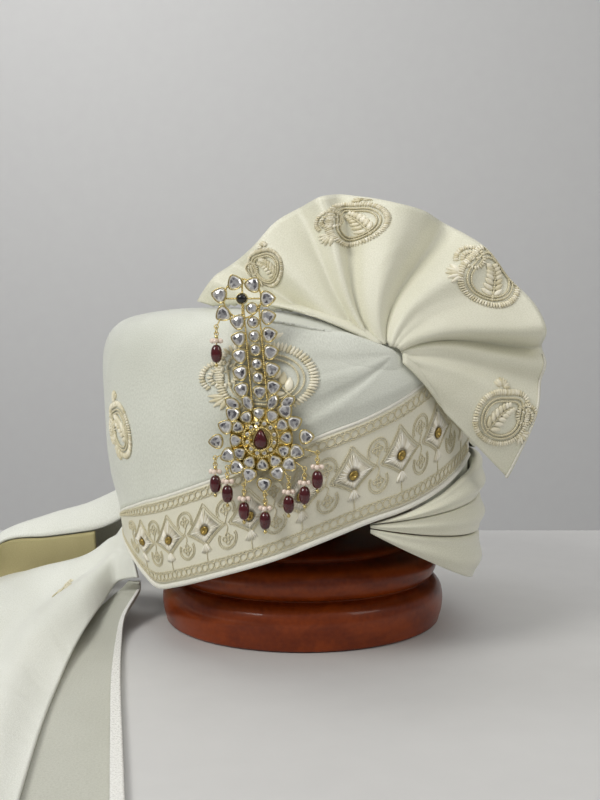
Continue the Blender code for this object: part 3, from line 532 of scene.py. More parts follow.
def layer_rule(index):
    """The rule of one layer. The nape's layers keep their full width, and the upper ones start narrower."""
    _, first, last = NAPE_WRAPS[index]

    def place(u, v):
        turn = first + (last - first) * u
        angle = radians(turn)
        low, high = nape_edge(index, turn) + SEAT_GAP, nape_edge(index + 1, turn) - SEAT_GAP
        swell = min(u / TUCK_SHARE, (1 - u) / TUCK_SHARE, 1.0)
        swell = swell * (2 - swell)
        taper = 1 if u > 0.5 or index < 3 else TUCK_WIDTH + (1 - TUCK_WIDTH) * swell ** 0.8
        half = (high - low) / 2 * taper
        thick = NAPE_THICKNESS * (TUCK_THICKNESS + (1 - TUCK_THICKNESS) * swell)
        loop = 2 * pi * v
        height = high - half - half * cos(loop)
        outward = (1 - sin(loop)) / 2
        folds = 0.5 + 0.5 * sin(4.4 * loop + 0.9 * index + 2.6 * sin(0.021 * turn + index))
        out = CHORD_GAP + thick * outward * (1 - 0.20 * folds * outward)
        return on_crown(angle, height, out)

    return place


for index, (name, first, last) in enumerate(NAPE_WRAPS):
    length = radians(last - first) * WRAP_RADIUS
    layer = cloth(name + "_silk", 110, 36, layer_rule(index), (length, 0.06), ivory)
    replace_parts(layer, name)
    print(name, "length", round(length, 3))

# %% [markdown]
# The border is a separate strip of satin with a machine-embroidered pattern. The strip comes first. A
# rule then turns a place on the flat strip, along and up, into a point just above the cloth, and all
# the stitching is drawn through that rule, so it bends with the band.

# %% Border band and its flat map
BAND_FIRST, BAND_LAST = radians(BAND[0][0]), radians(BAND[-1][0])


def band_surface(angle, share, out):
    """A point of the band's cloth, at a share of its width."""
    low, high = band_edges(angle)
    return on_crown(angle, low + (high - low) * share, CHORD_GAP + BAND_WALL / 2 + out)


band_angles = np.linspace(BAND_FIRST, BAND_LAST, 80)
band_middle = [band_surface(angle, 0.5, 0.0) for angle in band_angles]
band_steps = [np.linalg.norm(b - a) for a, b in zip(band_middle, band_middle[1:])]
band_lengths = np.concatenate(([0.0], np.cumsum(band_steps)))
band_length = float(band_lengths[-1])


def on_band(along, share, out):
    """A point above the band, from metres along it and a share of its width."""
    angle = float(np.interp(along, band_lengths, band_angles))
    return band_surface(angle, share, BAND_WALL / 2 + out)


band = cloth(
    "border_band_satin", 150, 20,
    lambda u, v: band_surface(BAND_FIRST + (BAND_LAST - BAND_FIRST) * u, v, 0.0),
    (band_length, BAND_WIDTH), ground, BAND_WALL,
)
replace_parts(band, "border_band")
print("band length", round(band_length, 3))

# %% [markdown]
# Stitches, cord twists, beads and pearls are all one idea: a small piece repeated along a path. One
# Geometry Nodes tree does them all. It cuts a curve into steps, puts a small round piece at each, turned
# along the curve, and makes the instances real so that the export keeps them.

# %% The stringing tree
def stringing_tree():
    tree = bpy.data.node_groups.new("strung_pieces", "GeometryNodeTree")
    sockets = (
        ("Path", "Geometry"), ("Step", "Float"), ("Size", "Vector"),
        ("Sides", "Int"), ("Rings", "Int"), ("Finish", "Material"),
    )
    for name, kind in sockets:
        tree.interface.new_socket(name, in_out="INPUT", socket_type="NodeSocket" + kind)
    tree.interface.new_socket("Pieces", in_out="OUTPUT", socket_type="NodeSocketGeometry")
    given = add_node(tree, "NodeGroupInput").outputs
    path = {"Curve": given["Path"], "Length": given["Step"]}
    steps = add_node(tree, "GeometryNodeResampleCurve", path, mode="LENGTH")
    along = add_node(tree, "GeometryNodeInputTangent").outputs["Tangent"]
    turn = add_node(tree, "FunctionNodeAlignRotationToVector", {"Vector": along}, axis="X")
    round_form = {"Segments": given["Sides"], "Rings": given["Rings"], "Radius": 0.5}
    piece = add_node(tree, "GeometryNodeMeshUVSphere", round_form)
    places = {
        "Points": steps.outputs["Curve"], "Instance": piece.outputs["Mesh"],
        "Rotation": turn.outputs["Rotation"], "Scale": given["Size"],
    }
    instances = add_node(tree, "GeometryNodeInstanceOnPoints", places).outputs["Instances"]
    real = add_node(tree, "GeometryNodeRealizeInstances", {"Geometry": instances}).outputs["Geometry"]
    smooth = add_node(tree, "GeometryNodeSetShadeSmooth", {"Geometry": real}).outputs["Geometry"]
    finish = add_node(tree, "GeometryNodeSetMaterial", {"Geometry": smooth, "Material": given["Finish"]})
    add_node(tree, "NodeGroupOutput", {"Pieces": finish.outputs["Geometry"]})
    return tree


STRING_TREE = stringing_tree()
print("stringing tree nodes", len(STRING_TREE.nodes))


def strung(name, paths, step, size, material, sides=6, rings=4):
    """Small round pieces along paths of (points, closed)."""
    curve = bpy.data.curves.new(name + "_path", "CURVE")
    curve.dimensions = "3D"
    for points, closed in paths:
        spline = curve.splines.new("POLY")
        spline.points.add(len(points) - 1)
        for spot, point in zip(spline.points, points):
            spot.co = (*point, 1.0)
        spline.use_cyclic_u = closed
    guide = bpy.data.objects.new(name + "_path", curve)
    scene.collection.objects.link(guide)
    modifier = guide.modifiers.new("strung", "NODES")
    modifier.node_group = STRING_TREE
    given = {"Step": step, "Size": size, "Sides": sides, "Rings": rings, "Finish": material}
    for item in STRING_TREE.interface.items_tree:
        if item.name in given:
            modifier[item.identifier] = given[item.name]
    graph = bpy.context.evaluated_depsgraph_get()
    mesh = bpy.data.meshes.new_from_object(guide.evaluated_get(graph), depsgraph=graph)
    guide.modifiers.remove(modifier)
    bpy.data.objects.remove(guide)
    mesh.materials.clear()
    piece = keep(name, mesh, material)
    print(name, "triangles", sum(len(p.vertices) - 2 for p in mesh.polygons))
    return piece


# %% [markdown]
# Satin stitch stands up in a low pad. A pad is an outline on the flat cloth, leaf or round, carried
# through a few rings that draw in as they rise. Many pads go into one heap and become one mesh.

# %% Pads
LEAF_RINGS = ((1.0, 0.0), (0.92, 0.5), (0.62, 0.9), (0.2, 1.0))
ROUND_RINGS = ((1.0, 0.0), (1.0, 0.7), (0.8, 1.0), (0.45, 0.75), (0.25, 0.35))
stitch_source = np.random.default_rng(4)


class Heap:
    """Points, faces, flat places and face tones, gathered for one mesh."""

    def __init__(self):
        self.points, self.faces, self.flat, self.tones = [], [], [], []

    def add_form(self, rings, sides, place, tones=None, open_top=False):
        """Adds a form carried through rings. place(ring, turn) gives a point and its flat place."""
        first = len(self.points)
        for ring in rings:
            for i in range(sides):
                point, flat = place(ring, 2 * pi * i / sides)
                self.points.append(point)
                self.flat.append(flat)
        for row in range(len(rings) - 1):
            for i in range(sides):
                low, after = first + row * sides + i, first + row * sides + (i + 1) % sides
                self.faces.append((low, after, after + sides, low + sides))
                self.tones.append(tones(row, i) if tones else 0.5)
        top = first + (len(rings) - 1) * sides
        if open_top:
            for i in range(sides):
                after = (i + 1) % sides
                self.faces.append((top + i, top + after, first + after, first + i))
                self.tones.append(0.5)
            return
        self.faces.append(tuple(range(first + sides - 1, first - 1, -1)))
        self.faces.append(tuple(range(top, top + sides)))
        self.tones += [0.5, tones(len(rings) - 1, 0) if tones else 0.5]


def add_pad(heap, place, centre, heading, length, width, height, leaf=True, sides=12):
    """Adds a raised pad. place(x, y, out) bends it onto its cloth."""
    ahead, side = cos(heading), sin(heading)

    def corner(ring, turn):
        x, y = cos(turn), sin(turn)
        if leaf:
            y *= abs(y) ** 0.35 * (1 - 0.25 * x)
        x, y = x * ring[0] * length / 2, y * ring[0] * width / 2
        spot = (centre[0] + x * ahead - y * side, centre[1] + x * side + y * ahead)
        return place(*spot, ring[1] * height), spot

    tone = float(stitch_source.uniform(0.2, 1.0))
    heap.add_form(LEAF_RINGS if leaf else ROUND_RINGS, sides, corner, lambda row, i: tone)


def add_comb(heap, place, path, length, step, height=0.0009):
    """Short stitches side by side along a flat path, each at right angles to it, to its left."""
    spots = np.array(path)
    gaps = np.linalg.norm(np.diff(spots, axis=0), axis=1)
    along = np.concatenate(([0.0], np.cumsum(gaps)))
    for far in np.arange(step / 2, along[-1], step):
        x, y = np.interp(far, along, spots[:, 0]), np.interp(far, along, spots[:, 1])
        i = min(int(np.searchsorted(along, far)), len(gaps)) - 1
        ahead = (spots[i + 1] - spots[i]) / gaps[i]
        left = np.array((-ahead[1], ahead[0]))
        centre = (x + left[0] * length / 2, y + left[1] * length / 2)
        add_pad(heap, place, centre, atan2(left[1], left[0]), length, 1.25 * step, height, sides=6)


def heap_piece(name, heap, material, smooth=True):
    """Makes a heap one mesh, with its UV map, its face tones and its faces turned outwards."""
    mesh = bpy.data.meshes.new(name)
    mesh.from_pydata([tuple(p) for p in heap.points], [], heap.faces)
    layer = mesh.uv_layers.new(name="cloth")
    for loop in mesh.loops:
        layer.data[loop.index].uv = heap.flat[loop.vertex_index]
    mesh.attributes.new("tone", "FLOAT", "FACE").data.foreach_set("value", heap.tones)
    bm = bmesh.new()
    bm.from_mesh(mesh)
    bmesh.ops.recalc_face_normals(bm, faces=bm.faces)
    for face in bm.faces:
        face.smooth = smooth
    bm.to_mesh(mesh)
    bm.free()
    piece = keep(name, mesh, material)
    print(name, "triangles", sum(len(p.vertices) - 2 for p in mesh.polygons))
    return piece


# %% [markdown]
# The border's pattern repeats every 28 mm: a pointed satin lotus whose stitches all start at a gold
# sequin, with a tuft and a stem below it. Between two of them stand two clusters of four small loops,
# the upper one under an arch and the lower one in a bowl. A chain of loops between fine lines runs above
# and below. These are traditional border forms.

# %% Border embroidery
PITCH, MIDDLE, FINE, SEQUIN = 0.028, 0.0250, 0.0006, 0.0047
LINE_HEIGHTS, CHAIN_HEIGHTS = (0.0016, 0.0070, 0.0430, 0.0484), (0.0043, 0.0457)
CHAIN_STEP, CHAIN_RADIUS = 0.0042, 0.0020
LOTUS_REACH, LOTUS_TOP, LOTUS_FOOT, LOTUS_THREADS = 0.0108, 0.0125, 0.0075, 46
LOTUS_EYE, TUFT_DROP, TUFT_LENGTH, CLUSTER_RADIUS = 0.0026, 0.0070, 0.0062, 0.0019
LOTUSES = [band_length - 0.0185 - PITCH * i for i in range(9)]


def flat_band(x, y, out):
    """The band's flat map in metres: x along it, y up from its lower edge for its full width."""
    return on_band(limit(x, 0.0, band_length), y / BAND_WIDTH, out)


def line_on(place, points, closed=False, lift=FINE / 2):
    """A flat line laid on its cloth, ready to be strung."""
    return [place(x, y, lift) for x, y in points], closed


def arc(centre, radius, start, end, count):
    """Points round part of a circle, from one bearing to another, in degrees."""
    turns = np.radians(np.linspace(start, end, count))
    return [(centre[0] + radius * cos(t), centre[1] + radius * sin(t)) for t in turns]


def lotus_edge(turn):
    """How far the lotus reaches in a direction: a kite with sides that curve in."""
    high = LOTUS_TOP if sin(turn) > 0 else LOTUS_FOOT
    return ((abs(cos(turn)) / LOTUS_REACH) ** 0.88 + (abs(sin(turn)) / high) ** 0.88) ** (-1 / 0.88)


fine_lines, loop_lines, lotus_heap, sequin_heap = [], [], Heap(), Heap()
for y in LINE_HEIGHTS:
    wavy = [(x, y + 0.0003 * sin(2400 * x)) for x in np.linspace(0.004, band_length - 0.003, 380)]
    fine_lines.append(line_on(flat_band, wavy))
for y in CHAIN_HEIGHTS:
    for x in np.arange(0.006, band_length - 0.005, CHAIN_STEP):
        loop_lines.append(line_on(flat_band, arc((x, y), CHAIN_RADIUS, 0, 330, 10)))
for centre in LOTUSES:
    for i in range(LOTUS_THREADS):
        turn = 2 * pi * i / LOTUS_THREADS
        middle = (LOTUS_EYE + lotus_edge(turn)) / 2
        spot = (centre + middle * cos(turn), MIDDLE + middle * sin(turn))
        width = 1.3 * 2 * pi * middle / LOTUS_THREADS
        add_pad(lotus_heap, flat_band, spot, turn, lotus_edge(turn) - LOTUS_EYE, width, 0.0012, sides=6)
    for grow in (1.12, 1.26):
        turns = np.linspace(0, 2 * pi, 60)[:-1]
        reaches = [grow * lotus_edge(t) for t in turns]
        edge = [(centre + far * cos(t), MIDDLE + far * sin(t)) for t, far in zip(turns, reaches)]
        fine_lines.append(line_on(flat_band, edge, True))
    for i in range(7):
        turn = radians(-90 + 11 * (i - 3))
        spot = (centre + 0.0034 * cos(turn), MIDDLE - TUFT_DROP + 0.0034 * sin(turn))
        add_pad(lotus_heap, flat_band, spot, turn, TUFT_LENGTH, 0.0010, 0.0010, sides=6)
    fine_lines.append(line_on(flat_band, [(centre, y) for y in np.linspace(0.0072, MIDDLE - TUFT_DROP, 12)]))
    add_pad(sequin_heap, flat_band, (centre, MIDDLE), 0, SEQUIN, SEQUIN, 0.0019, leaf=False, sides=16)
    between = centre - PITCH / 2
    for y, start, end in ((MIDDLE + 0.0078, -25, 205), (MIDDLE - 0.0082, 155, 385)):
        for radius in (0.0048, 0.0058):
            fine_lines.append(line_on(flat_band, arc((between, y), radius, start, end, 40)))
        for spot in arc((between, y), CLUSTER_RADIUS, 0, 270, 4):
            loop_lines.append(line_on(flat_band, arc(spot, 0.0012, 0, 320, 8)))
    stem = [(between + 0.0006 * sin(900 * y), y) for y in np.linspace(MIDDLE - 0.0054, MIDDLE + 0.0050, 16)]
    fine_lines.append(line_on(flat_band, stem))
strung("band_fine_lines", fine_lines, 0.0012, (0.0016, FINE, FINE), zari, 5, 4)
strung("band_loops", loop_lines, 0.0009, (0.0013, 0.0008, 0.0008), zari, 5, 3)
heap_piece("band_lotus_satin", lotus_heap, satin_thread)

# %% [markdown]
# The piping is a cotton cord under the band, 3 mm thick, and a thinner one covers the band's upper edge.
# Both are strung from round pieces that overlap, which gives the slight beading of a covered cord.

# %% Piping
def piping_point(angle):
    """The piping's middle, just below the band's lower edge."""
    return on_crown(angle, band_edges(angle)[0] - PIPING_RADIUS, CHORD_GAP + PIPING_RADIUS)


lower_hem = [piping_point(angle) for angle in np.linspace(radians(-100), radians(BAND[-1][0] - 1), 150)]
bead = (2 * PIPING_RADIUS,) * 3
piping = strung("band_piping_cord", [(lower_hem, False)], 0.0011, bead, cord, 10, 6)
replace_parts(piping, "band_piping")
upper_hem = [band_surface(angle, 1.012, 0.0004) for angle in np.linspace(radians(-111), BAND_LAST, 150)]
bead = (0.0036, 0.0019, 0.0019)
strung("band_upper_hem", [(upper_hem, False)], 0.0010, bead, cord, 8, 5)

# %% [markdown]
# The turra is the upright fan. Its cloth is pleated, pinned at the knot and opened by hand. Near the knot
# the pleats are tight and curl round it, and outside they open into soft waves. The table's columns are
# a bearing in degrees, a share of the fan's radius and a share of the pleats' depth.

# %% Fan
FAN_RADIUS, FAN_SWEEP, PLEAT_DEPTH, FAN_CURL, FAN_START = 0.088, 0.034, 0.0105, radians(48), 0.07
FAN = (
    (164, 1.19, -0.3), (156, 1.14, 0.3), (149, 1.08, -0.7), (140, 1.03, 0.4), (130, 1.04, 0.1),
    (121, 1.03, -0.4), (113, 1.02, 0.8), (106, 1.01, -0.6), (97, 0.95, 0.3), (86, 0.90, 1.0),
    (76, 0.89, 0.4), (66, 0.88, -1.0), (57, 0.87, -0.1), (46, 0.87, 0.7), (32, 0.87, 0.4),
    (18, 0.94, 0.7), (9, 0.96, 1.0), (3, 0.97, -0.9), (-3, 0.98, -0.1), (-10, 0.97, -0.4),
    (-20, 0.98, 0.4), (-34, 1.00, 0.6), (-45, 1.06, 0.1),
)
FINE_PLEATS, FINE_DEPTH, FAN_CLEAR = 19, 0.0014, 0.0015
KNOT = crown_point(KNOT_TURN, wall_share(KNOT_TURN, KNOT_HEIGHT), LAYER_GAP + DRAPE_WALL + FAN_WALL)


def clear_of_crown(point, out):
    """The point, or the nearest way out of the crown for a point that is inside it."""
    core = 0.55 * CROWN_HEIGHT
    x = point[0] - CROWN_X - LEAN * (point[2] - LEAN_START)
    across = x * cos(FACING) + point[1] * sin(FACING)
    ahead = x * sin(FACING) - point[1] * cos(FACING)
    angle = atan2(across / HALF_WIDTH, ahead / HALF_LENGTH)
    reach = hypot(across / HALF_WIDTH, ahead / HALF_LENGTH)

    def is_short(share):
        width = smooth_table(PROFILE, share, 1) + out / HALF_WIDTH
        return (crown_point(angle, share, out)[2] - core) * reach < (point[2] - core) * width

    seat = crown_point(angle, halve(0.0, 1.0, 18, is_short), out)
    middle = np.array((CROWN_X, 0.0, core))
    return seat if np.linalg.norm(point - middle) < np.linalg.norm(seat - middle) else point


def fan_point(bearing_share, reach_share):
    """A point of the fan. Small tight pleats are added between the large ones, and fade outwards."""
    bearing = radians(smooth_table(FAN, bearing_share, 0))
    reach = smooth_table(FAN, bearing_share, 1) * FAN_RADIUS * reach_share
    proud = smooth_table(FAN, bearing_share, 2) * PLEAT_DEPTH
    ripple = sin(2 * pi * bearing_share * FINE_PLEATS + 2 * reach_share)
    proud += FINE_DEPTH * ripple * exp(-2.5 * reach_share)
    bearing += FAN_CURL * (1 - reach_share) ** 2 * sin(pi * bearing_share)
    back = FAN_SWEEP * reach_share ** 1.3
    point = KNOT + np.array((reach * cos(bearing), back - proud * reach_share ** 0.8, reach * sin(bearing)))
    return clear_of_crown(point, LAYER_GAP + DRAPE_WALL + CREASE_DEPTH + FAN_WALL / 2 + FAN_CLEAR)


def fan_surface(bearing_share, reach_share, out):
    """A point in front of the fan's cloth, a distance out along its own normal."""
    here = fan_point(bearing_share, reach_share)
    before = fan_point(max(bearing_share - 0.004, 0), reach_share)
    after = fan_point(min(bearing_share + 0.004, 1), reach_share)
    inner = fan_point(bearing_share, reach_share - 0.01)
    outer = fan_point(bearing_share, min(reach_share + 0.01, 1))
    normal = np.cross(after - before, outer - inner)
    normal *= -np.sign(normal[1]) / np.linalg.norm(normal)
    return here + normal * (FAN_WALL / 2 + out)


fan = cloth(
    "turra_fan_silk", 176, 30, lambda u, v: fan_point(u, FAN_START + (1 - FAN_START) * v),
    (0.36, FAN_RADIUS), ivory, FAN_WALL,
)
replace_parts(fan, "turra_fan")
rim = [fan_surface(share, 0.985, 0.0002) for share in np.linspace(0.80, 0.999, 60)]
strung("fan_edge_cord", [(rim, False)], 0.0012, (0.0020, 0.0014, 0.0014), cord, 8, 5)

# %% [markdown]
# The pleats' feet are tucked behind the drape's top edge, which is folded over and pulled tight across
# them. The fold stands away from the crown where the pleats lie under it, and sinks back into the drape
# below.

# %% Folded edge
FOLD_EDGE = (
    (-34, 0.1790), (-20, 0.1772), (-13.6, 0.1757), (-7, 0.1712),
    (-1.1, 0.1657), (5, 0.1622), (10.6, 0.1592), (15.5, 0.1572),
)
FLAP_NARROW, FLAP_WIDEN, FLAP_RISE, FLAP_SINK = 0.006, 0.018, 0.0042, 0.0016


def folded_edge(u, v):
    """The flap over the pleats: its upper edge stands out, and its lower edge lies on the drape."""
    share = share_at(FOLD_EDGE, FOLD_EDGE[0][0] + (FOLD_EDGE[-1][0] - FOLD_EDGE[0][0]) * u)
    angle = radians(smooth_table(FOLD_EDGE, share, 0))
    height = smooth_table(FOLD_EDGE, share, 1) - (FLAP_NARROW + FLAP_WIDEN * (1 - u) ** 0.6) * v
    full = min(u / 0.35, (1 - u) / 0.12, 1.0)
    rise = FLAP_RISE * (full * (2 - full)) * (1 - v) ** 2 * (1 - 0.25 * (1 - v) ** 8)
    return on_crown(angle, height, drape_out(angle, height) + SEAT_GAP + rise - FLAP_SINK * v ** 6)


folded = cloth("drape_folded_edge", 90, 24, folded_edge, (0.105, 0.018), painted_shade_drape_silk, 0.0014)
print("fold ends at", [round(v, 3) for v in folded_edge(1.0, 0.0)])

# %% [markdown]
# The free end hangs to the table and lies there in three layers. The front sheet has two long folds. The
# hem below it is edged with a satin ribbon, and its silk is painted darker, as painted shade from the front
# sheet. The upper sheet's reverse shows under its near edge, painted olive-gold as painted shade with
# painted light shining through the thin silk. A table's columns are a share of the length, the near
# edge's place, the far edge's place and how far the cloth arches between them, all but the first in
# shares of the tail's reach.

# %% Tail
TAIL_REACH, TAIL_FOLD = 0.290, 0.006
TAIL_FRONT = (
    (0.00, -0.333, -0.090, 0.096, -0.3775, 0.010, 0.180, 0.010),
    (0.12, -0.383, -0.040, 0.074, -0.413, 0.045, 0.136, 0.030),
    (0.25, -0.403, -0.110, 0.047, -0.490, 0.103, 0.078, 0.030),
    (0.40, -0.416, -0.293, 0.022, -0.672, 0.207, 0.030, 0.014),
    (0.58, -0.405, -0.517, 0.013, -0.776, -0.034, 0.013, 0.000),
    (0.78, -0.386, -0.724, 0.013, -0.741, -0.414, 0.013, 0.000),
    (1.00, -0.352, -1.000, 0.013, -0.638, -0.983, 0.013, 0.000),
)
TAIL_HEM = (
    (0.00, -0.331, -0.080, 0.084, -0.355, -0.050, 0.080, 0.000),
    (0.15, -0.335, -0.045, 0.058, -0.388, -0.045, 0.048, 0.000),
    (0.30, -0.352, -0.128, 0.026, -0.428, -0.138, 0.020, 0.000),
    (0.45, -0.344, -0.228, 0.006, -0.455, -0.248, 0.005, 0.000),
    (0.62, -0.310, -0.455, 0.004, -0.469, -0.466, 0.004, 0.000),
    (0.80, -0.262, -0.734, 0.004, -0.448, -0.724, 0.004, 0.000),
    (1.00, -0.217, -0.993, 0.004, -0.414, -0.993, 0.004, 0.000),
)
TAIL_BACK = (
    (0.00, -0.396, 0.103, 0.166, -0.418, 0.262, 0.103, 0.107),
    (0.30, -0.488, 0.155, 0.143, -0.503, 0.345, 0.010, 0.103),
    (0.60, -0.582, 0.207, 0.122, -0.614, 0.407, 0.007, 0.083),
    (0.85, -0.691, 0.241, 0.104, -0.731, 0.431, 0.007, 0.048),
    (1.00, -0.786, 0.248, 0.034, -0.800, 0.407, 0.007, 0.021),
)
FRONT_FOLDS, FRONT_CRUMPLE, UPPER_CRUMPLE = 2.0, 0.0012, 0.001
UPPER_TURN, UPPER_SPREAD, UPPER_HEIGHT, UPPER_ARCH = -114, 14, 0.060, 0.014


def tail_point(rows, length_share, across_share, folds=0.0, crumple=0.0):
    """A point of a layer of the free end, between its near and its far edge."""
    share = share_at(rows, length_share)
    near = np.array([smooth_table(rows, share, column) for column in (1, 2, 3)])
    far = np.array([smooth_table(rows, share, column) for column in (4, 5, 6)])
    point = (near + (far - near) * across_share) * TAIL_REACH
    lying = min(length_share * 3, 1.0)
    fold = (0.5 - 0.5 * cos(2 * pi * folds * across_share)) * TAIL_FOLD * lying
    rise = smooth_table(rows, share, 7) * TAIL_REACH * (4 * across_share * (1 - across_share)) ** 0.8
    wander = sin(9 * length_share + 5 * sin(4 * across_share + 3 * length_share))
    soft = crumple * lying * sin(pi * across_share) * wander
    point[2] = max(point[2] + rise + fold + soft, TAIL_WALL / 2 + SEAT_GAP)
    return point


def front_sheet(u, v):
    return tail_point(TAIL_FRONT, v, u, FRONT_FOLDS, FRONT_CRUMPLE)


def hem_sheet(u, v):
    return tail_point(TAIL_HEM, v, u)


def upper_sheet(u, v):
    """The upper sheet leaves the crown behind the drape's rear edge and then falls away to the left."""
    angle = radians(UPPER_TURN - UPPER_SPREAD * u)
    seat = on_crown(angle, UPPER_HEIGHT + UPPER_ARCH * 4 * u * (1 - u), 0.0007)
    away = min(v / 0.25, 1.0)
    return seat + (tail_point(TAIL_BACK, v, u, 0.0, UPPER_CRUMPLE) - seat) * away * (2 - away)


def tail_sheet(name, across, along, place, flat, material):
    return cloth(name, across, along, place, flat, material, TAIL_WALL)


tail_front = tail_sheet("tail_front_silk", 70, 90, front_sheet, (0.11, 0.34), tail_silk)
tail_hem = tail_sheet("tail_hem_silk", 24, 60, hem_sheet, (0.045, 0.29), painted_shade_hem_silk)
tail_back = tail_sheet("tail_upper_silk", 50, 60, upper_sheet, (0.07, 0.13), tail_silk)
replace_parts(tail_front, "tail_front")
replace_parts(tail_hem, "tail_hem")
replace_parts(tail_back, "tail_back")


REVERSE_WALL, RIBBON_WALL, RIBBON_SHARE = 0.0010, 0.0008, 0.10


def reverse_face(u, v):
    """The upper sheet's reverse, which turns down and back under its near edge to the table."""
    top = upper_sheet(0.0, 0.22 + 0.78 * v)
    drop = top[2] - 0.0012
    return top + np.array((0.0, 0.010 * sin(pi * u / 2) + 0.0015, -0.0012 - drop * u))


def ribbon_strip(u, v):
    """The ribbon lies on the hem, along its near edge."""
    return hem_sheet(RIBBON_SHARE * u, 0.02 + 0.98 * v) + np.array((0, 0, 0.0013))


reverse = cloth(
    "tail_upper_reverse", 16, 50, reverse_face, (0.035, 0.10), painted_shade_reverse, REVERSE_WALL,
)
ribbon = cloth("tail_ribbon", 6, 60, ribbon_strip, (0.0045, 0.28), ribbon_satin, RIBBON_WALL)
print("tail pieces", [piece.name for piece in (tail_front, tail_hem, tail_back, reverse, ribbon)])

# %% [markdown]
# Scattered motifs are worked in thick pale gold silk floss, raised and very shiny. Each is a paisley
# edged with a comb of short stitches, with a fern of satin leaves inside, a coiled rosette at its
# shoulder and a small flower at its tip. One flat drawing, in shares of the motif's half size, is laid on
# the drape and the fan through a rule for each, and a simpler flower on the tail.

# %% Motifs
MOTIF_LIFT = 0.0006


def paisley_edge(t):
    """The paisley's outline in shares of its half size, drawn out to a tip at its upper left."""
    reach = 0.70 + 0.24 * bell(turn_gap(t, 2.25), 0.42)
    return reach * cos(t) + 0.14, reach * sin(t) * 0.94 - 0.10


def scatter_rule(place, size, turn, mirror):
    """A rule that takes a motif's own shares to its cloth, sized, turned and perhaps mirrored."""
    def laid(x, y, out):
        a, b = x * size[0] * mirror, y * size[1]
        return place(a * cos(turn) - b * sin(turn), a * sin(turn) + b * cos(turn), out)

    return laid


def add_spray(heap, laid, centre, radius, first, step, count, petal, **shape):
    """Petals of (length, width, height) round a centre, each pointing away from it."""
    for i in range(count):
        bearing = first + step * i
        spot = (centre[0] + radius * cos(bearing), centre[1] + radius * sin(bearing))
        add_pad(heap, laid, spot, bearing, *petal, **shape)


def paisley_motif(laid, heap, lines):
    """A combed edge with two inner lines, a fern, a coil, and sprays at the tip and the shoulder."""
    edge = [paisley_edge(t) for t in np.linspace(2 * pi, 0, 90)]
    add_comb(heap, laid, edge, 0.20, 0.062, 0.0013)
    for share in (0.90, 0.76):
        inner = [(0.14 + (x - 0.14) * share, -0.10 + (y + 0.10) * share) for x, y in edge[:-1]]
        lines.append(line_on(laid, inner, True, MOTIF_LIFT))
    vein = [(0.52 - 0.66 * t, -0.58 + 0.86 * t + 0.16 * sin(pi * t)) for t in np.linspace(0, 1, 24)]
    lines.append(line_on(laid, vein, False, MOTIF_LIFT))
    for i in range(7):
        x, y = vein[3 * i + 2]
        for side in (-1, 1):
            bearing = radians(127 + side * 48)
            length = 0.36 - 0.028 * i
            add_spray(heap, laid, (x, y), 0.03 + length / 2, bearing, 0, 1, (length, 0.15, 0.0014))
    coil = []
    for t in np.linspace(0, 1, 60):
        bend = 2 * pi * 1.55 * t + 0.6
        coil.append((-0.62 + (0.08 + 0.24 * t) * cos(bend), 0.12 + (0.08 + 0.24 * t) * sin(bend)))
    add_comb(heap, laid, coil[::-1], 0.14, 0.058, 0.0013)
    add_pad(heap, laid, (-0.62, 0.12), 0, 0.12, 0.12, 0.0013, leaf=False, sides=8)
    tip, shoulder = (0.30, 0.76), (-0.52, -0.40)
    add_spray(heap, laid, tip, 0.17, radians(20), radians(24), 7, (0.26, 0.10, 0.0012), sides=8)
    add_spray(heap, laid, shoulder, 0.24, radians(175), radians(22), 5, (0.34, 0.11, 0.0012), sides=8)


def flower_motif(laid, heap, lines):
    """Seven open petals round a ring, with a stem and a combed leaf beside them."""
    add_spray(heap, laid, (-0.25, 0.0), 0.40, 0.3, 2 * pi / 7, 7, (0.52, 0.24, 0.0011))
    lines.append(line_on(laid, arc((-0.25, 0.0), 0.13, 0, 360, 14)[:-1], True, 0.0008))
    stem = [(-0.25 - 0.30 * t, -0.5 - 0.5 * t) for t in np.linspace(0, 1, 8)]
    lines.append(line_on(laid, stem, False, MOTIF_LIFT))
    leaf = [(0.20 + 0.75 * t, 0.25 + 0.55 * t - 0.22 * sin(pi * t)) for t in np.linspace(0, 1, 24)]
    add_comb(heap, laid, leaf, 0.22, 0.08, 0.0010)
    add_comb(heap, laid, leaf[::-1], 0.16, 0.08, 0.0010)


def on_drape(angle, height):
    """A rule for a motif on the drape, about a direction and a height."""
    apart = on_crown(angle + 0.05, height, 0) - on_crown(angle - 0.05, height, 0)
    width = float(np.linalg.norm(apart)) / 0.1

    def place(x, y, out):
        a, h = angle + x / width, height + y
        return on_crown(a, h, drape_out(a, h) + DRAPE_WALL / 2 + out)

    return place


def on_fan(x0, z0):
    """A rule for a motif on the fan, about a place across and up from the knot."""
    def place(x, y, out):
        a, b = x0 + x, z0 + y
        bearing = degrees(atan2(b, a))
        share = share_at(FAN, bearing)
        reach = min(hypot(a, b) / (smooth_table(FAN, share, 1) * FAN_RADIUS), 0.985)
        return fan_surface(limit(share, 0.01, 0.99), reach, out)

    return place


def on_tail(length_share, across_share):
    """A rule for a motif on the front sheet of the tail."""
    def place(x, y, out):
        v, u = length_share - y / 0.34, across_share + x / 0.11
        return front_sheet(u, v) + np.array((0, 0, TAIL_WALL / 2 + out))

    return place


